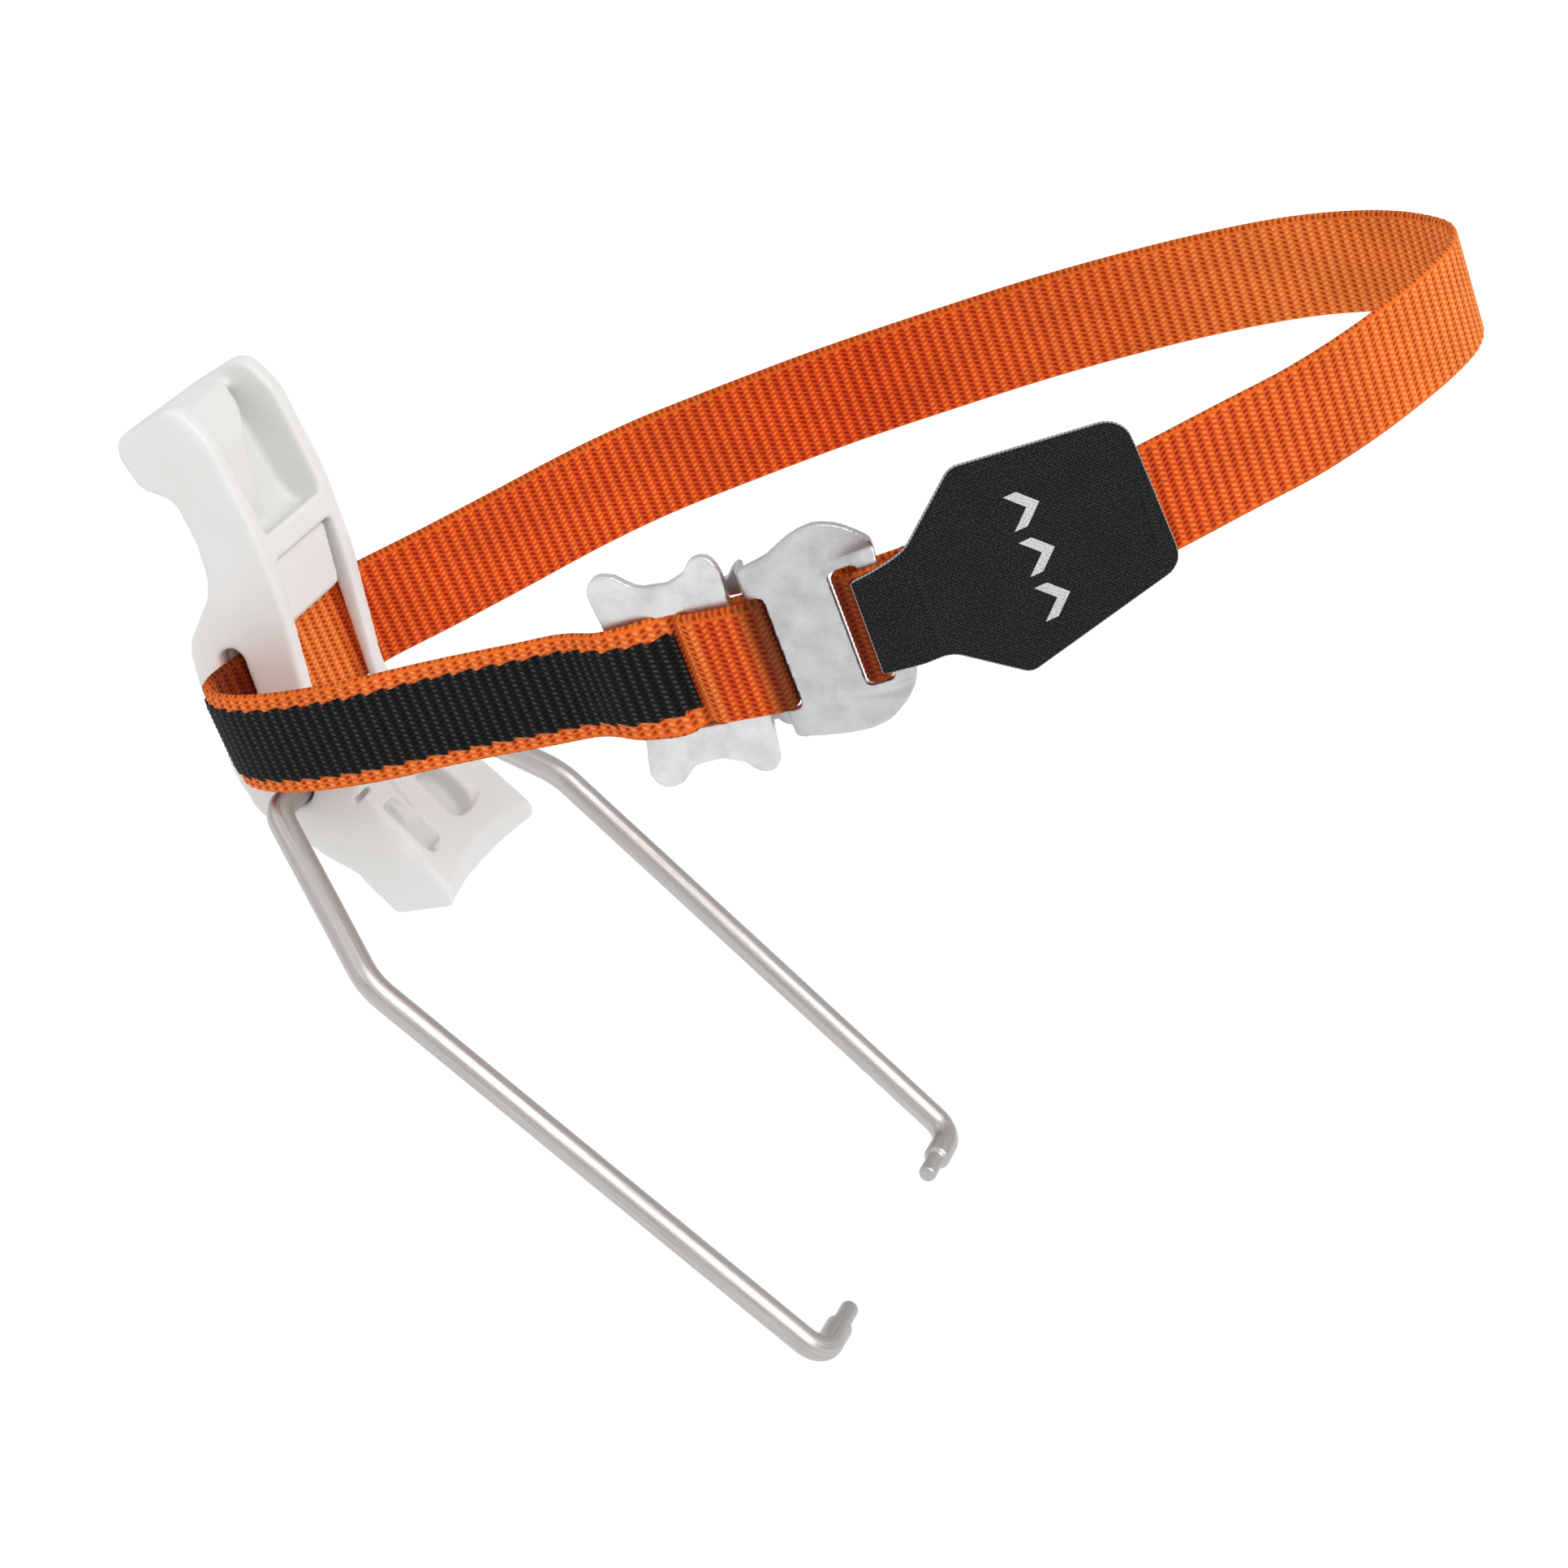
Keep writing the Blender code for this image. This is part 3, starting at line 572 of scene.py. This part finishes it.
def aluminium_material(name, level):
    """Tumbled plate: cloudy tones, streaks and shallow pits."""
    material, tree, shader = blank_material(name)
    place = object_place(tree)
    clouds = noise(tree, place, 260.0, 4.0, 0.6)
    streaks = noise(tree, stretched(tree, place, (300.0, 1800.0, 1400.0)), 1.0, 3.0, 0.6)
    pits = noise(tree, place, 2600.0, 2.0)
    stops = [(0.3, grey(level * 0.86)), (0.5, grey(level)), (0.7, grey(level * 1.12))]
    uneven = times_plus(tree, pits, 0.25, clouds)
    feed(tree, shader, {
        "Base Color": ramp(tree, clouds, stops), "Metallic": 1.0,
        "Roughness": ranged(tree, streaks, 0.3, 0.7, 0.34, 0.5),
        "Normal": bump(tree, uneven, 0.10 * MM, 0.5)})
    return material


def fabric_material(name, stops):
    """A close plain weave of uneven yarns, which shows as fine flecks."""
    material, tree, shader = blank_material(name)
    uv, along, across = lay_coordinates(tree)
    drift = noise(tree, stretched(tree, uv, (0.9, 0.9, 1.0)), 1.0, 2.0)
    pace = 2 * math.pi / FABRIC_PITCH
    first = calc(tree, "SINE", times_plus(tree, drift, 5.0, times(tree, along, pace)))
    second = calc(tree, "SINE", times_plus(tree, drift, -5.0, times(tree, across, pace)))
    weave = times_plus(tree, times(tree, first, second), 0.24, 0.5)
    flecks = noise(tree, stretched(tree, uv, (2.4, 2.4, 1.0)), 1.0, 2.0, 0.7)
    height = times_plus(tree, calc(tree, "SUBTRACT", flecks, 0.5), 1.5, weave)
    color = dimmed(tree, ramp(tree, height, stops), patchy(tree, uv, (0.12, 0.12, 1.0)))
    feed(tree, shader, {
        "Base Color": color, "Roughness": 0.8, "Specular IOR Level": 0.1,
        "Normal": bump(tree, height, 0.1 * MM, 0.6)})
    return material


def thread_material(name, color):
    """Twisted thread: slanting strands round each tube."""
    material, tree, shader = blank_material(name)
    _, along, across = lay_coordinates(tree)
    twist = calc(tree, "SINE", times_plus(tree, along, 9.0, times(tree, across, 7.0)))
    height = times_plus(tree, twist, 0.5, 0.5)
    dark = tuple(part * 0.35 for part in color)
    feed(tree, shader, {
        "Base Color": ramp(tree, height, [(0.0, dark), (0.8, color)]), "Roughness": 0.7,
        "Specular IOR Level": 0.25, "Normal": bump(tree, height, 0.05 * MM, 0.6)})
    return material


def grey(level):
    return level, level, level


FABRIC_PITCH = 0.7              # from one yarn of the plain weave to the next
# places on a ramp, and the colour at each
PLASTIC_STOPS = [(0.35, (0.70, 0.70, 0.685)), (0.65, (0.735, 0.735, 0.725))]
STEEL_STOPS = [(0.3, (0.36, 0.345, 0.33)), (0.5, (0.50, 0.48, 0.46)), (0.7, (0.60, 0.58, 0.56))]
# the webbing ramps' dark low ends are partly painted shade in the weave's valleys
ORANGE_STOPS = [(0.0, (0.26, 0.012, 0.001)), (0.3, (0.50, 0.030, 0.002)), (0.6, (0.78, 0.080, 0.006)),
                (1.0, (0.95, 0.20, 0.035))]
# the brighter, yellower orange of the painted light
PAINTED_LIGHT_STOPS = [(0.0, (0.46, 0.045, 0.006)), (0.3, (0.80, 0.16, 0.020)), (0.6, (0.96, 0.29, 0.055)),
               (1.0, (1.0, 0.44, 0.14))]
EDGE_ORANGE = (0.95, 0.17, 0.015)
TIP_ORANGE = (1.0, 0.30, 0.10)
BLACK_STOPS = [(0.1, (0.0012, 0.0012, 0.0014)), (0.45, (0.006, 0.006, 0.0065)), (0.75, (0.022, 0.022, 0.025)),
               (1.0, (0.075, 0.075, 0.082))]
TAB_STOPS = [(0.1, grey(0.003)), (0.5, (0.011, 0.011, 0.0115)), (0.9, (0.040, 0.040, 0.042))]
PRINT_STOPS = [(0.1, (0.34, 0.34, 0.345)), (0.5, (0.52, 0.52, 0.53)), (0.9, (0.62, 0.62, 0.63))]

PLASTIC = plastic_material()
STEEL = steel_material()
WING_METAL = aluminium_material("tumbled_aluminium", 0.68)
FRAME_METAL = aluminium_material("tumbled_aluminium_frame", 0.56)
ORANGE = webbing_material("orange_woven_webbing", RIB, ORANGE_STOPS, dyed=True)
BLACK_WEB = webbing_material("black_woven_centre", TAPE_RIB, BLACK_STOPS)
TAB_FABRIC = fabric_material("black_patch_fabric", TAB_STOPS)
PRINT = fabric_material("pale_printed_fabric", PRINT_STOPS)
CUT_EDGE = thread_material("pale_cut_edge", grey(0.34))
BLACK_THREAD = thread_material("black_sewing_thread", (0.022, 0.022, 0.024))


# ---------------------------------------- bail

def make_bail():
    half = [Vector((PIVOT[0], 0.0, PIVOT[1])), Vector((PIVOT[0], BAIL_CORNER, PIVOT[1])), Vector(BAIL_ELBOW),
            Vector((0.0, BAIL_FOOT, 0.0)), Vector((0.0, PIN_SHOULDER, 0.0))]
    bent = rounded(half, BAIL_BENDS, closed=False, steps=14)
    radii = [WIRE_RADIUS] * len(bent)
    for y, radius in PIN_PROFILE:
        bent.append(Vector((0.0, y, 0.0)))
        radii.append(radius)
    near = [Vector((point.x, -point.y, point.z)) for point in bent[1:]]
    points = near[::-1] + bent
    radii = radii[:0:-1] + radii
    bail = swept("bail_wire", [tuple(point) for point in points], radii, BAIL_SIDES)
    dress(bail, STEEL, "bail", "stainless_wire", "heel_bail")


# ---------------------------------------- lever

def ring_faces(count):
    """The quads between a ring of points and the next ring of as many."""
    pairs = [(index, (index + 1) % count) for index in range(count)]
    return [(here, count + here, count + there, there) for here, there in pairs]


def prism(name, outline, depths, matrix, lift=4.0):
    """An outline on the matrix's XY plane, made solid from lift above it down to depths below it."""
    count = len(outline)
    points = [(x, y, lift) for x, y in outline] + [(x, y, -depth) for (x, y), depth in zip(outline, depths)]
    faces = [tuple(range(count)), tuple(range(2 * count - 1, count - 1, -1))]
    faces += ring_faces(count)
    cutter = mesh_object(name, [matrix @ Vector(point) for point in points], faces, smooth_faces=False)
    work = bmesh.new()
    work.from_mesh(cutter.data)
    bmesh.ops.triangulate(work, faces=work.faces)
    bmesh.ops.recalc_face_normals(work, faces=work.faces)
    work.to_mesh(cutter.data)
    work.free()
    return cutter


def carve(thing, cutters, voxel, passes):
    """Cuts the cutters out of a piece and eases the new edges a little."""
    for cutter in cutters:
        cut = thing.modifiers.new("cut", "BOOLEAN")
        cut.operation = "DIFFERENCE"
        cut.solver = "EXACT"
        cut.object = cutter
    ease(thing, voxel, passes)
    for cutter in cutters:
        bpy.data.objects.remove(cutter, do_unlink=True)


def scoop_rise():
    """The near half of the scoop's floor stands higher than the far half."""
    upright = Matrix(((1.0, 0.0, 0.0, 0.0), (0.0, 0.0, -1.0, 0.0),
                      (0.0, 1.0, 0.0, 0.0), (0.0, 0.0, 0.0, 1.0)))
    outline = [(x, z) for x, z, _ in SCOOP_RISE]
    return prism("scoop_rise", outline, [reach for _, _, reach in SCOOP_RISE], upright, SCOOP_NEAR_SIDE)


def make_lever():
    head = Vector(SLOPE_HEAD)
    run = (Vector(SLOPE_FOOT) - head).normalized()
    slope = Matrix(((run.x, 0.0, -run.y, head.x), (0.0, 1.0, 0.0, 0.0), (run.y, 0.0, run.x, head.y),
                    (0.0, 0.0, 0.0, 1.0)))
    cutters = [prism("pocket", outline, depths, slope) for outline, depths in POCKETS]
    level = Matrix.Translation((0.0, 0.0, SLIT_LEVEL))
    cutters.append(prism("slit", TONGUE_SLIT, [SLIT_HALF] * 4, level, SLIT_HALF))
    shell = softened("lever_shell", "lever_body", *LEVER_EASE, scoop_rise())
    carve(shell, cutters, *CARVED_EASE)
    dress(shell, PLASTIC, "lever", "white_plastic", "lever_body")
    tongue = softened("lever_tongue", "lever_insert", *TONGUE_EASE)
    start, end, pull = TONGUE_PULL
    for vertex in tongue.data.vertices:
        vertex.co.y -= pull * MM * float(ease_between(vertex.co.y / MM, start, end))
    dress(tongue, PLASTIC, "lever", "white_plastic", "lever_insert")


# ---------------------------------------- webbing

def resampled(path, spacing):
    """Evenly spaced points of a path with their lengths along it and their right-hand normals."""
    points = np.array([(point.x, point.y) for point in path])
    lengths = lengths_along(points)
    count = round(lengths[-1] / spacing) + 1
    along = np.linspace(0.0, lengths[-1], count)
    places = np.stack([np.interp(along, lengths, points[:, axis]) for axis in (0, 1)], axis=1)
    for _ in range(4):
        places[1:-1] = 0.25 * places[:-2] + 0.5 * places[1:-1] + 0.25 * places[2:]
    tangents = unit(np.gradient(places, axis=0))
    normals = np.stack([tangents[:, 1], -tangents[:, 0]], axis=1)
    return along, places, normals


def band_columns(half, inset, yarns):
    """The lines across a band: its border, a line just inside that, and the yarns of its body."""
    body = np.arange(-yarns, yarns + 1) * YARN / 2
    return np.concatenate([[-half, -half + inset], body, [half - inset, half]])


def rounded_profile(columns, half, rounding, body, least):
    """Half the band's thickness at each of its columns: body, and less over the rounding at its borders."""
    edge = np.clip((np.abs(columns) - (half - rounding)) / rounding, 0.0, 1.0)
    return body * np.sqrt(np.clip(1.0 - edge ** 2, least, 1.0))


def ease_between(value, start, end):
    part = np.clip((value - start) / (end - start), 0.0, 1.0)
    return part * part * (3.0 - 2.0 * part)


def between(value, rise, fall):
    """One from the end of rise to the start of fall, and zero outside both."""
    return ease_between(value, *rise) * (1.0 - ease_between(value, *fall))


def mound(value, middle, reach, power):
    """One at the middle and next to nothing past the reach; a higher power makes it flatter on top."""
    return np.exp(-((value - middle) / reach) ** power)


def nearest(target, places):
    return int(np.argmin(np.linalg.norm(places - np.array(target), axis=1)))


def woven_band(name, path, columns, profile, middle, relief, rib, borders, shift):
    """A closed band of webbing on a path of (lengths, places, normals), ribbed on both of its faces.
    middle is how far its own middle lies outwards of the path, borders is how far its low and its high
    border move out, and shift moves the whole band across."""
    along, places, normals = path
    rows = len(along)
    count = len(columns)
    reach = np.abs(columns) / np.abs(columns).max()
    low, high = borders
    moved = np.where(columns < 0, low[:, None], high[:, None])
    placed = columns + moved * reach ** 6 * np.sign(columns) + np.reshape(shift, (-1, 1))
    wave = np.cos(2 * math.pi * along / rib)[:, None]
    fade = np.clip(np.minimum(along - along[0], along[-1] - along) / rib, 0.0, 1.0)[:, None]
    inside = np.abs(columns) < np.abs(columns).max() - 0.2
    ribs = relief * wave * fade * inside
    checks = np.cos(2 * math.pi * columns / YARN)[None, :]
    outer = profile + ribs * (0.5 + 0.5 * checks)
    inner = profile + ribs * (0.5 - 0.5 * checks)
    sides = []
    for offset in (middle + outer, middle - inner):
        flat = places[:, None, :] + normals[:, None, :] * offset[:, :, None]
        sides.append(np.concatenate([flat, placed[:, :, None]], axis=2))
    points = np.concatenate([sides[0], sides[1][:, ::-1]], axis=1)
    ring = 2 * count
    width = np.tile(np.concatenate([columns, columns[::-1] + YARN / 2]), (rows, 1))
    length = np.tile(along[:, None], (1, ring))
    texture = np.stack([length, width], axis=2).reshape(-1, 2)
    index = np.arange(rows * ring).reshape(rows, ring)
    here, there = index[:-1], index[1:]
    faces = np.stack([here, np.roll(here, -1, 1), np.roll(there, -1, 1), there], axis=2).reshape(-1, 4)
    caps = []
    for row, turn in ((index[0], 1), (index[-1], -1)):
        for column in range(count - 1):
            quad = (row[column], row[ring - 1 - column], row[ring - 2 - column], row[column + 1])
            caps.append(quad[::turn])
    faces = np.concatenate([faces, np.array(caps)])
    return mesh_object(name, to_world(points.reshape(-1, 3)), faces.tolist(), texture[faces.ravel()])


def make_tape(route):
    """The black tape on the outside of the webbing, from the lever to the wing plate."""
    along, places, normals = resampled(route, TAPE_RIB / 4)
    first = nearest((0.45, 3.4), places)
    last = nearest(on_wing(4.3, -0.9), places)
    part = slice(first, last + 1)
    columns = band_columns(TAPE_HALF, 0.2, 13)
    jags = [TAPE_JAG * (np.mod(along[part] / (2 * TAPE_RIB) + start, 1.0) - 0.5) for start in (0.5, 0.0)]
    tape = woven_band("black_centre", (along[part], places[part], normals[part]), columns,
                      rounded_profile(columns, TAPE_HALF, TAPE_EDGE, TAPE_BODY, 0.06), TAPE_LIFT, TAPE_RELIEF,
                      TAPE_RIB, jags, BAND_SHIFT)
    dress(tape, BLACK_WEB, "strap", "black_webbing", "centre_tape")
    return tape, (along[first], along[last])


def mark_strap(strap, along, columns, taped, slot_at, lever_at, fold_at):
    """Stores on each point the painted light, a brighter and yellower orange along stretches of the strap,
    the painted shade, darker where it runs in the slots and at the fold, and the paler orange beside the
    tape's
    teeth: the first columns of a row are the band's outer face and the rest its inner one."""
    count = len(columns)
    marks = {key: np.zeros((len(along), 2 * count)) for key in ("painted_light", "painted_shade", "tip")}
    beside = between(np.abs(columns), (6.3, 6.9), (7.1, 7.6))
    beat = 0.5 + 0.5 * np.cos(math.pi * along / TAPE_RIB)
    under = (along > taped[0]) & (along < taped[1])
    marks["tip"][:, :count] = (under * beat)[:, None] * beside[None, :] * TIP_MIX
    # painted light along the strap
    marks["painted_light"][:] = np.interp(along, *zip(*PAINTED_LIGHT_ALONG))[:, None]
    # painted shade: darker in the frame's slot on the outer face, and in the lever and at the fold on the
    # inner one
    in_slot = SLOT_SHADE[0] * mound(along, slot_at + 1.0, SLOT_SHADE[1], 4)
    in_lever = LEVER_SHADE[0] * mound(along, lever_at, LEVER_SHADE[1], 4)
    in_fold = FOLD_SHADE * between(along, (fold_at - 5.0, fold_at - 2.0), (fold_at + 1.2, fold_at + 6.0))
    marks["painted_shade"][:, :count] = in_slot[:, None]
    marks["painted_shade"][:, count:] = (in_lever + in_fold)[:, None]
    for key, values in marks.items():
        layer = strap.data.attributes.new(key, "FLOAT", "POINT")
        layer.data.foreach_set("value", values.astype(np.float32).ravel())


def make_strap():
    route = strap_route()
    along, places, normals = resampled(route, RIB / 4)
    columns = band_columns(WEB_HALF, 0.25, 19)
    slot_at = along[nearest(on_frame(FRAME_SLOT[1] - GAP - LOOSE - TURN), places)]
    wing_at = along[nearest(on_wing(-3.5, LAY), places)]
    lever_at = along[nearest((1.4, 6.5), places)]
    run = len(along) - 60               # the last run's rows, behind the wing plate
    fold_at = along[run + nearest(on_wing(WING_RIGHT[1] + SLIDE + GAP + TURN), places[run:])]
    covered = (between(along, (slot_at + 3.0, slot_at + 7.0), (slot_at + 20.0, slot_at + 48.0))
               + 1.0 - ease_between(along, slot_at - 16.0, slot_at - 5.0))
    past, reach = BULGE_PLACE
    bulge = mound(along, wing_at + past, reach, 2)
    widening = FOLD_WIDENING * ease_between(along, wing_at + 16.0, wing_at + 24.0)
    low = WING_BULGE[0] * bulge - NECK_NARROWING * covered
    high = WING_BULGE[1] * bulge + widening - NECK_NARROWING * covered
    strap = woven_band("orange_strap", (along, places, normals), columns,
                       rounded_profile(columns, WEB_HALF, WEB_EDGE, WEB_BODY, 0.04), 0.0, WEB_RELIEF, RIB,
                       (low, high), NECK_SHIFT * covered + BAND_SHIFT)
    tape, taped = make_tape(route)
    mark_strap(strap, along, columns, taped, slot_at, lever_at, fold_at)
    dress(strap, ORANGE, "strap", "orange_webbing", "ankle_strap")
    return strap, tape


# ---------------------------------------- buckle

def bend_lobes(plate):
    """Drops the frame's two outer lobes beyond their creases.  x is along the frame and y across it."""
    points = np.empty(len(plate.data.vertices) * 3, np.float32)
    plate.data.vertices.foreach_get("co", points)
    flat = (points.reshape(-1, 3) / MM - np.array(STRAP_ORIGIN)) @ np.array(STRAP_TURN)
    turn = math.radians(FRAME_ANGLE)
    du, dv = flat[:, 0] - FRAME_ORIGIN[0], flat[:, 1] - FRAME_ORIGIN[1]
    x, y = du * math.cos(turn) + dv * math.sin(turn), flat[:, 2]
    drop = np.zeros(len(flat))
    for (crease_x, crease_y), (away_x, away_y), side in FRAME_LOBES:
        beyond = np.maximum((x - crease_x) * away_x + (y - crease_y) * away_y, 0.0)
        drop += LOBE_SLOPE * beyond * ease_between(side * y, 9.9, 12.2) * (x > 10.0)
    drop = np.minimum(drop, LOBE_DROP)
    flat[:, 0] -= drop * math.sin(turn)
    flat[:, 1] += drop * math.cos(turn)
    plate.data.vertices.foreach_set("co", (to_world(flat) * MM).astype(np.float32).ravel())
    plate.data.update()


def make_buckle():
    wings = softened("wing_plate_shell", "buckle_wing_plate", *PLATE_EASE)
    dress(wings, WING_METAL, "wing_plate", "satin_aluminium", "buckle_wing_plate")
    plate = softened("frame_shell", "buckle_frame", *PLATE_EASE)
    bend_lobes(plate)
    dress(plate, FRAME_METAL, "strap", "satin_aluminium", "buckle_frame")


# ---------------------------------------- tab

def span_at(outline, x):
    """The lowest and the highest y of a closed outline at x."""
    ys = []
    for (x0, y0), (x1, y1) in zip(outline, outline[1:] + outline[:1]):
        if min(x0, x1) <= x <= max(x0, x1) and x0 != x1:
            ys.append(y0 + (y1 - y0) * (x - x0) / (x1 - x0))
    return (min(ys), max(ys)) if ys else None


def make_patch(inner, out, root, layer):
    """The tab's fabric: two grids of points and a rim between them.  Also returns the rim's middle line."""
    bend = root + out * layer
    corners = [on_frame(17.3, LAY + layer), bend, bend + inner * 46.0]
    route = smooth(rounded(corners, [0, TAB_BEND, 0], closed=False, steps=8), TAB_SPACING)
    along, places, normals = resampled(route, TAB_SPACING)
    chord = (places - np.array(bend)) @ np.array(inner)
    outline = [(point.x, point.y) for point in rounded(TAB_EDGE, TAB_RADII, steps=8)]
    spans = [(index, span_at(outline, x)) for index, x in enumerate(chord)]
    rows = [(index, span) for index, span in spans if span and span[1] - span[0] > 1.0]
    shares = np.linspace(-1.0, 1.0, TAB_COLUMNS)
    rim_width, left = TAB_RIM
    points = []
    texture = []
    for face in (1, -1):
        for index, (low, high) in rows:
            across = (low + high) / 2 + shares * (high - low) / 2
            rim = np.minimum((1 - np.abs(shares)) * (high - low) / 2 / rim_width, 1.0)
            height = face * TAB_THICK / 2 * (left + (1.0 - left) * np.sqrt(rim))
            spot = places[index][None, :] + normals[index][None, :] * height[:, None]
            points.append(np.concatenate([spot, across[:, None]], axis=1))
            texture.append(np.stack([np.full(TAB_COLUMNS, along[index]), across], axis=1))
    points = np.concatenate(points)
    texture = np.concatenate(texture)
    total = len(rows)
    top, bottom = np.arange(2 * total * TAB_COLUMNS).reshape(2, total, TAB_COLUMNS)
    faces = []
    for sheet, turn in ((top, 1), (bottom, -1)):
        corners = [sheet[:-1, :-1], sheet[:-1, 1:], sheet[1:, 1:], sheet[1:, :-1]]
        quads = np.stack(corners, axis=2).reshape(-1, 4)
        faces += [tuple(quad[::turn]) for quad in quads.tolist()]
    end = TAB_COLUMNS - 1
    loop = ([(0, column) for column in range(TAB_COLUMNS)] + [(row, end) for row in range(1, total)]
            + [(total - 1, column) for column in range(end - 1, -1, -1)]
            + [(row, 0) for row in range(total - 2, 0, -1)])
    for here, there in zip(loop, loop[1:] + loop[:1]):
        faces.append((int(top[there]), int(top[here]), int(bottom[here]), int(bottom[there])))
    patch = mesh_object("patch", to_world(points), faces, texture[np.concatenate(faces)])
    dress(patch, TAB_FABRIC, "strap", "black_fabric", "strap_tab")
    return patch, np.array([(points[top[place]] + points[bottom[place]]) / 2 for place in loop])


def spaced(points, spacing):
    """The points that are more than the spacing from the last one kept."""
    keep = [0]
    for index in range(1, len(points)):
        if np.linalg.norm(points[index] - points[keep[-1]]) > spacing:
            keep.append(index)
    return points[keep]


def make_chevron(number, middle, inner, out, face):
    """One of three plain chevrons printed across the tab."""
    points = []
    for height in (0.05, -0.1):
        for x, y in CHEVRON:
            spot = face + inner * (CHEVRON_ALONG + x) + out * height
            points.append((spot.x, spot.y, middle + y))
    faces = [(0, 1, 4, 5), (1, 2, 3, 4), (11, 10, 7, 6), (10, 9, 8, 7)] + ring_faces(len(CHEVRON))
    texture = np.array(points)[np.concatenate(faces)][:, [0, 2]]
    chevron = mesh_object("patch_chevron_%d" % number, to_world(points), faces, texture, smooth_faces=False)
    return dress(chevron, PRINT, "strap", "black_fabric")


def make_tab():
    inner, out, root = tab_frame()
    layer = WEB_THICK / 2 + GAP + TAB_THICK / 2
    patch, edge = make_patch(inner, out, root, layer)
    rim = swept("patch_edge", to_world(spaced(edge, RIM_SPACING)), RIM_RADIUS, 8, cyclic=True)
    dress(rim, CUT_EDGE, "strap", "black_thread")
    face = root + out * (layer + TAB_THICK / 2 + 0.02)
    marks = [make_chevron(number, middle, inner, out, face)
             for number, middle in enumerate(CHEVRON_PLACES, start=1)]
    return patch, rim, marks


def tack(name, node_name, along, height, length):
    """A bar tack: one thread laid in a close zigzag."""
    inner, out, root = tab_frame()
    steps = int(length / STITCH)
    centre = root + inner * along + out * height
    path = []
    for step in range(steps + 1):
        side = STITCH_REACH if step % 2 else -STITCH_REACH
        w = -length / 2 + length * step / steps
        spot = centre + inner * side
        following = centre - inner * side
        for lift, share in ((-0.12, 0.0), (0.06, 0.35), (0.06, 0.65)):
            middle = spot.lerp(following, share) + out * lift
            path.append((middle.x, middle.y, w + length / steps * share))
    thread = swept(name, to_world(path), THREAD_RADIUS, 6)
    return dress(thread, BLACK_THREAD, "strap", "black_thread", node_name)


def make_tacks():
    raised = WEB_THICK / 2 + GAP + TAB_THICK + 0.04
    behind = -(WEB_THICK + GAP + WEB_THICK / 2 + 0.2)
    return [tack("neck_stitches", "neck_bar_tack", 3.4, raised, 13.0),
            tack("end_stitches", "end_bar_tack", 41.3, raised, 11.0),
            tack("sewn_end_stitches", "sewn_end_tack", 20.0, behind, 13.0)]


# ---------------------------------------- studio

FLOOR_Z = -0.36                 # this section is in metres
FLOOR_TONES = [(0.3, grey(0.955)), (0.7, grey(0.975))]
BACKDROP = {"radius": 10.0, "depth": 6.0, "location": (0.0, 0.0, 2.6)}
SKY = 0.68
LAMPS = [                       # name, the way to it, strength, and how many degrees wide
    ("key", (0.62, -0.32, 0.70), 1.55, 50), ("fill", (-0.5, -0.5, 0.7), 0.4, 60)]
CAMERA_PLACE = (0.1608145, -0.5068171, 0.3678294)
CAMERA_TURN = (62.415, 0.0, 19.601)
CAMERA_LENS = 83.85


def make_studio():
    """A pale floor, a white wall far round it that only the camera sees, a white sky and two soft suns."""
    bpy.ops.mesh.primitive_plane_add(size=24.0, location=(0.0, 0.0, FLOOR_Z))
    floor = bpy.context.active_object
    floor.name = "studio_floor"
    material, tree, shader = blank_material("studio_floor_paint")
    tone = ramp(tree, noise(tree, object_place(tree), 1.0, 2.0), FLOOR_TONES)
    feed(tree, shader, {"Base Color": tone, "Roughness": 0.9, "Specular IOR Level": 0.0})
    floor.data.materials.append(material)
    bpy.ops.mesh.primitive_cylinder_add(vertices=64, end_fill_type="NOTHING", **BACKDROP)
    backdrop = bpy.context.active_object
    backdrop.name = "studio_backdrop"
    material, tree, shader = blank_material("studio_backdrop_paint")
    feed(tree, shader, {"Base Color": (0.0, 0.0, 0.0, 1.0), "Specular IOR Level": 0.0,
                        "Emission Color": (1.0, 1.0, 1.0, 1.0), "Emission Strength": 1.0})
    backdrop.data.materials.append(material)
    backdrop.visible_diffuse = False
    backdrop.visible_glossy = False
    backdrop.visible_shadow = False
    scene = bpy.context.scene
    world = bpy.data.worlds.new("studio")
    scene.world = world
    world.use_nodes = True
    sky = world.node_tree.nodes["Background"].inputs
    sky["Color"].default_value = (1.0, 1.0, 1.0, 1.0)
    sky["Strength"].default_value = SKY
    for name, toward, energy, angle in LAMPS:
        lamp = bpy.data.lights.new(name, "SUN")
        lamp.energy = energy
        lamp.angle = math.radians(angle)
        thing = bpy.data.objects.new(name, lamp)
        scene.collection.objects.link(thing)
        thing.rotation_euler = Vector(toward).to_track_quat("Z", "Y").to_euler()
    scene.view_settings.view_transform = "Standard"


def make_camera():
    lens = bpy.data.cameras.new("camera")
    lens.lens = CAMERA_LENS
    lens.sensor_width = 36.0
    lens.clip_start = 0.01
    camera = bpy.data.objects.new("camera", lens)
    bpy.context.scene.collection.objects.link(camera)
    camera.location = CAMERA_PLACE
    camera.rotation_euler = [math.radians(angle) for angle in CAMERA_TURN]
    bpy.context.scene.camera = camera


make_camera()
make_studio()
make_bail()
make_lever()
strap, tape = make_strap()
make_buckle()
tab, rim, marks = make_tab()
tacks = make_tacks()
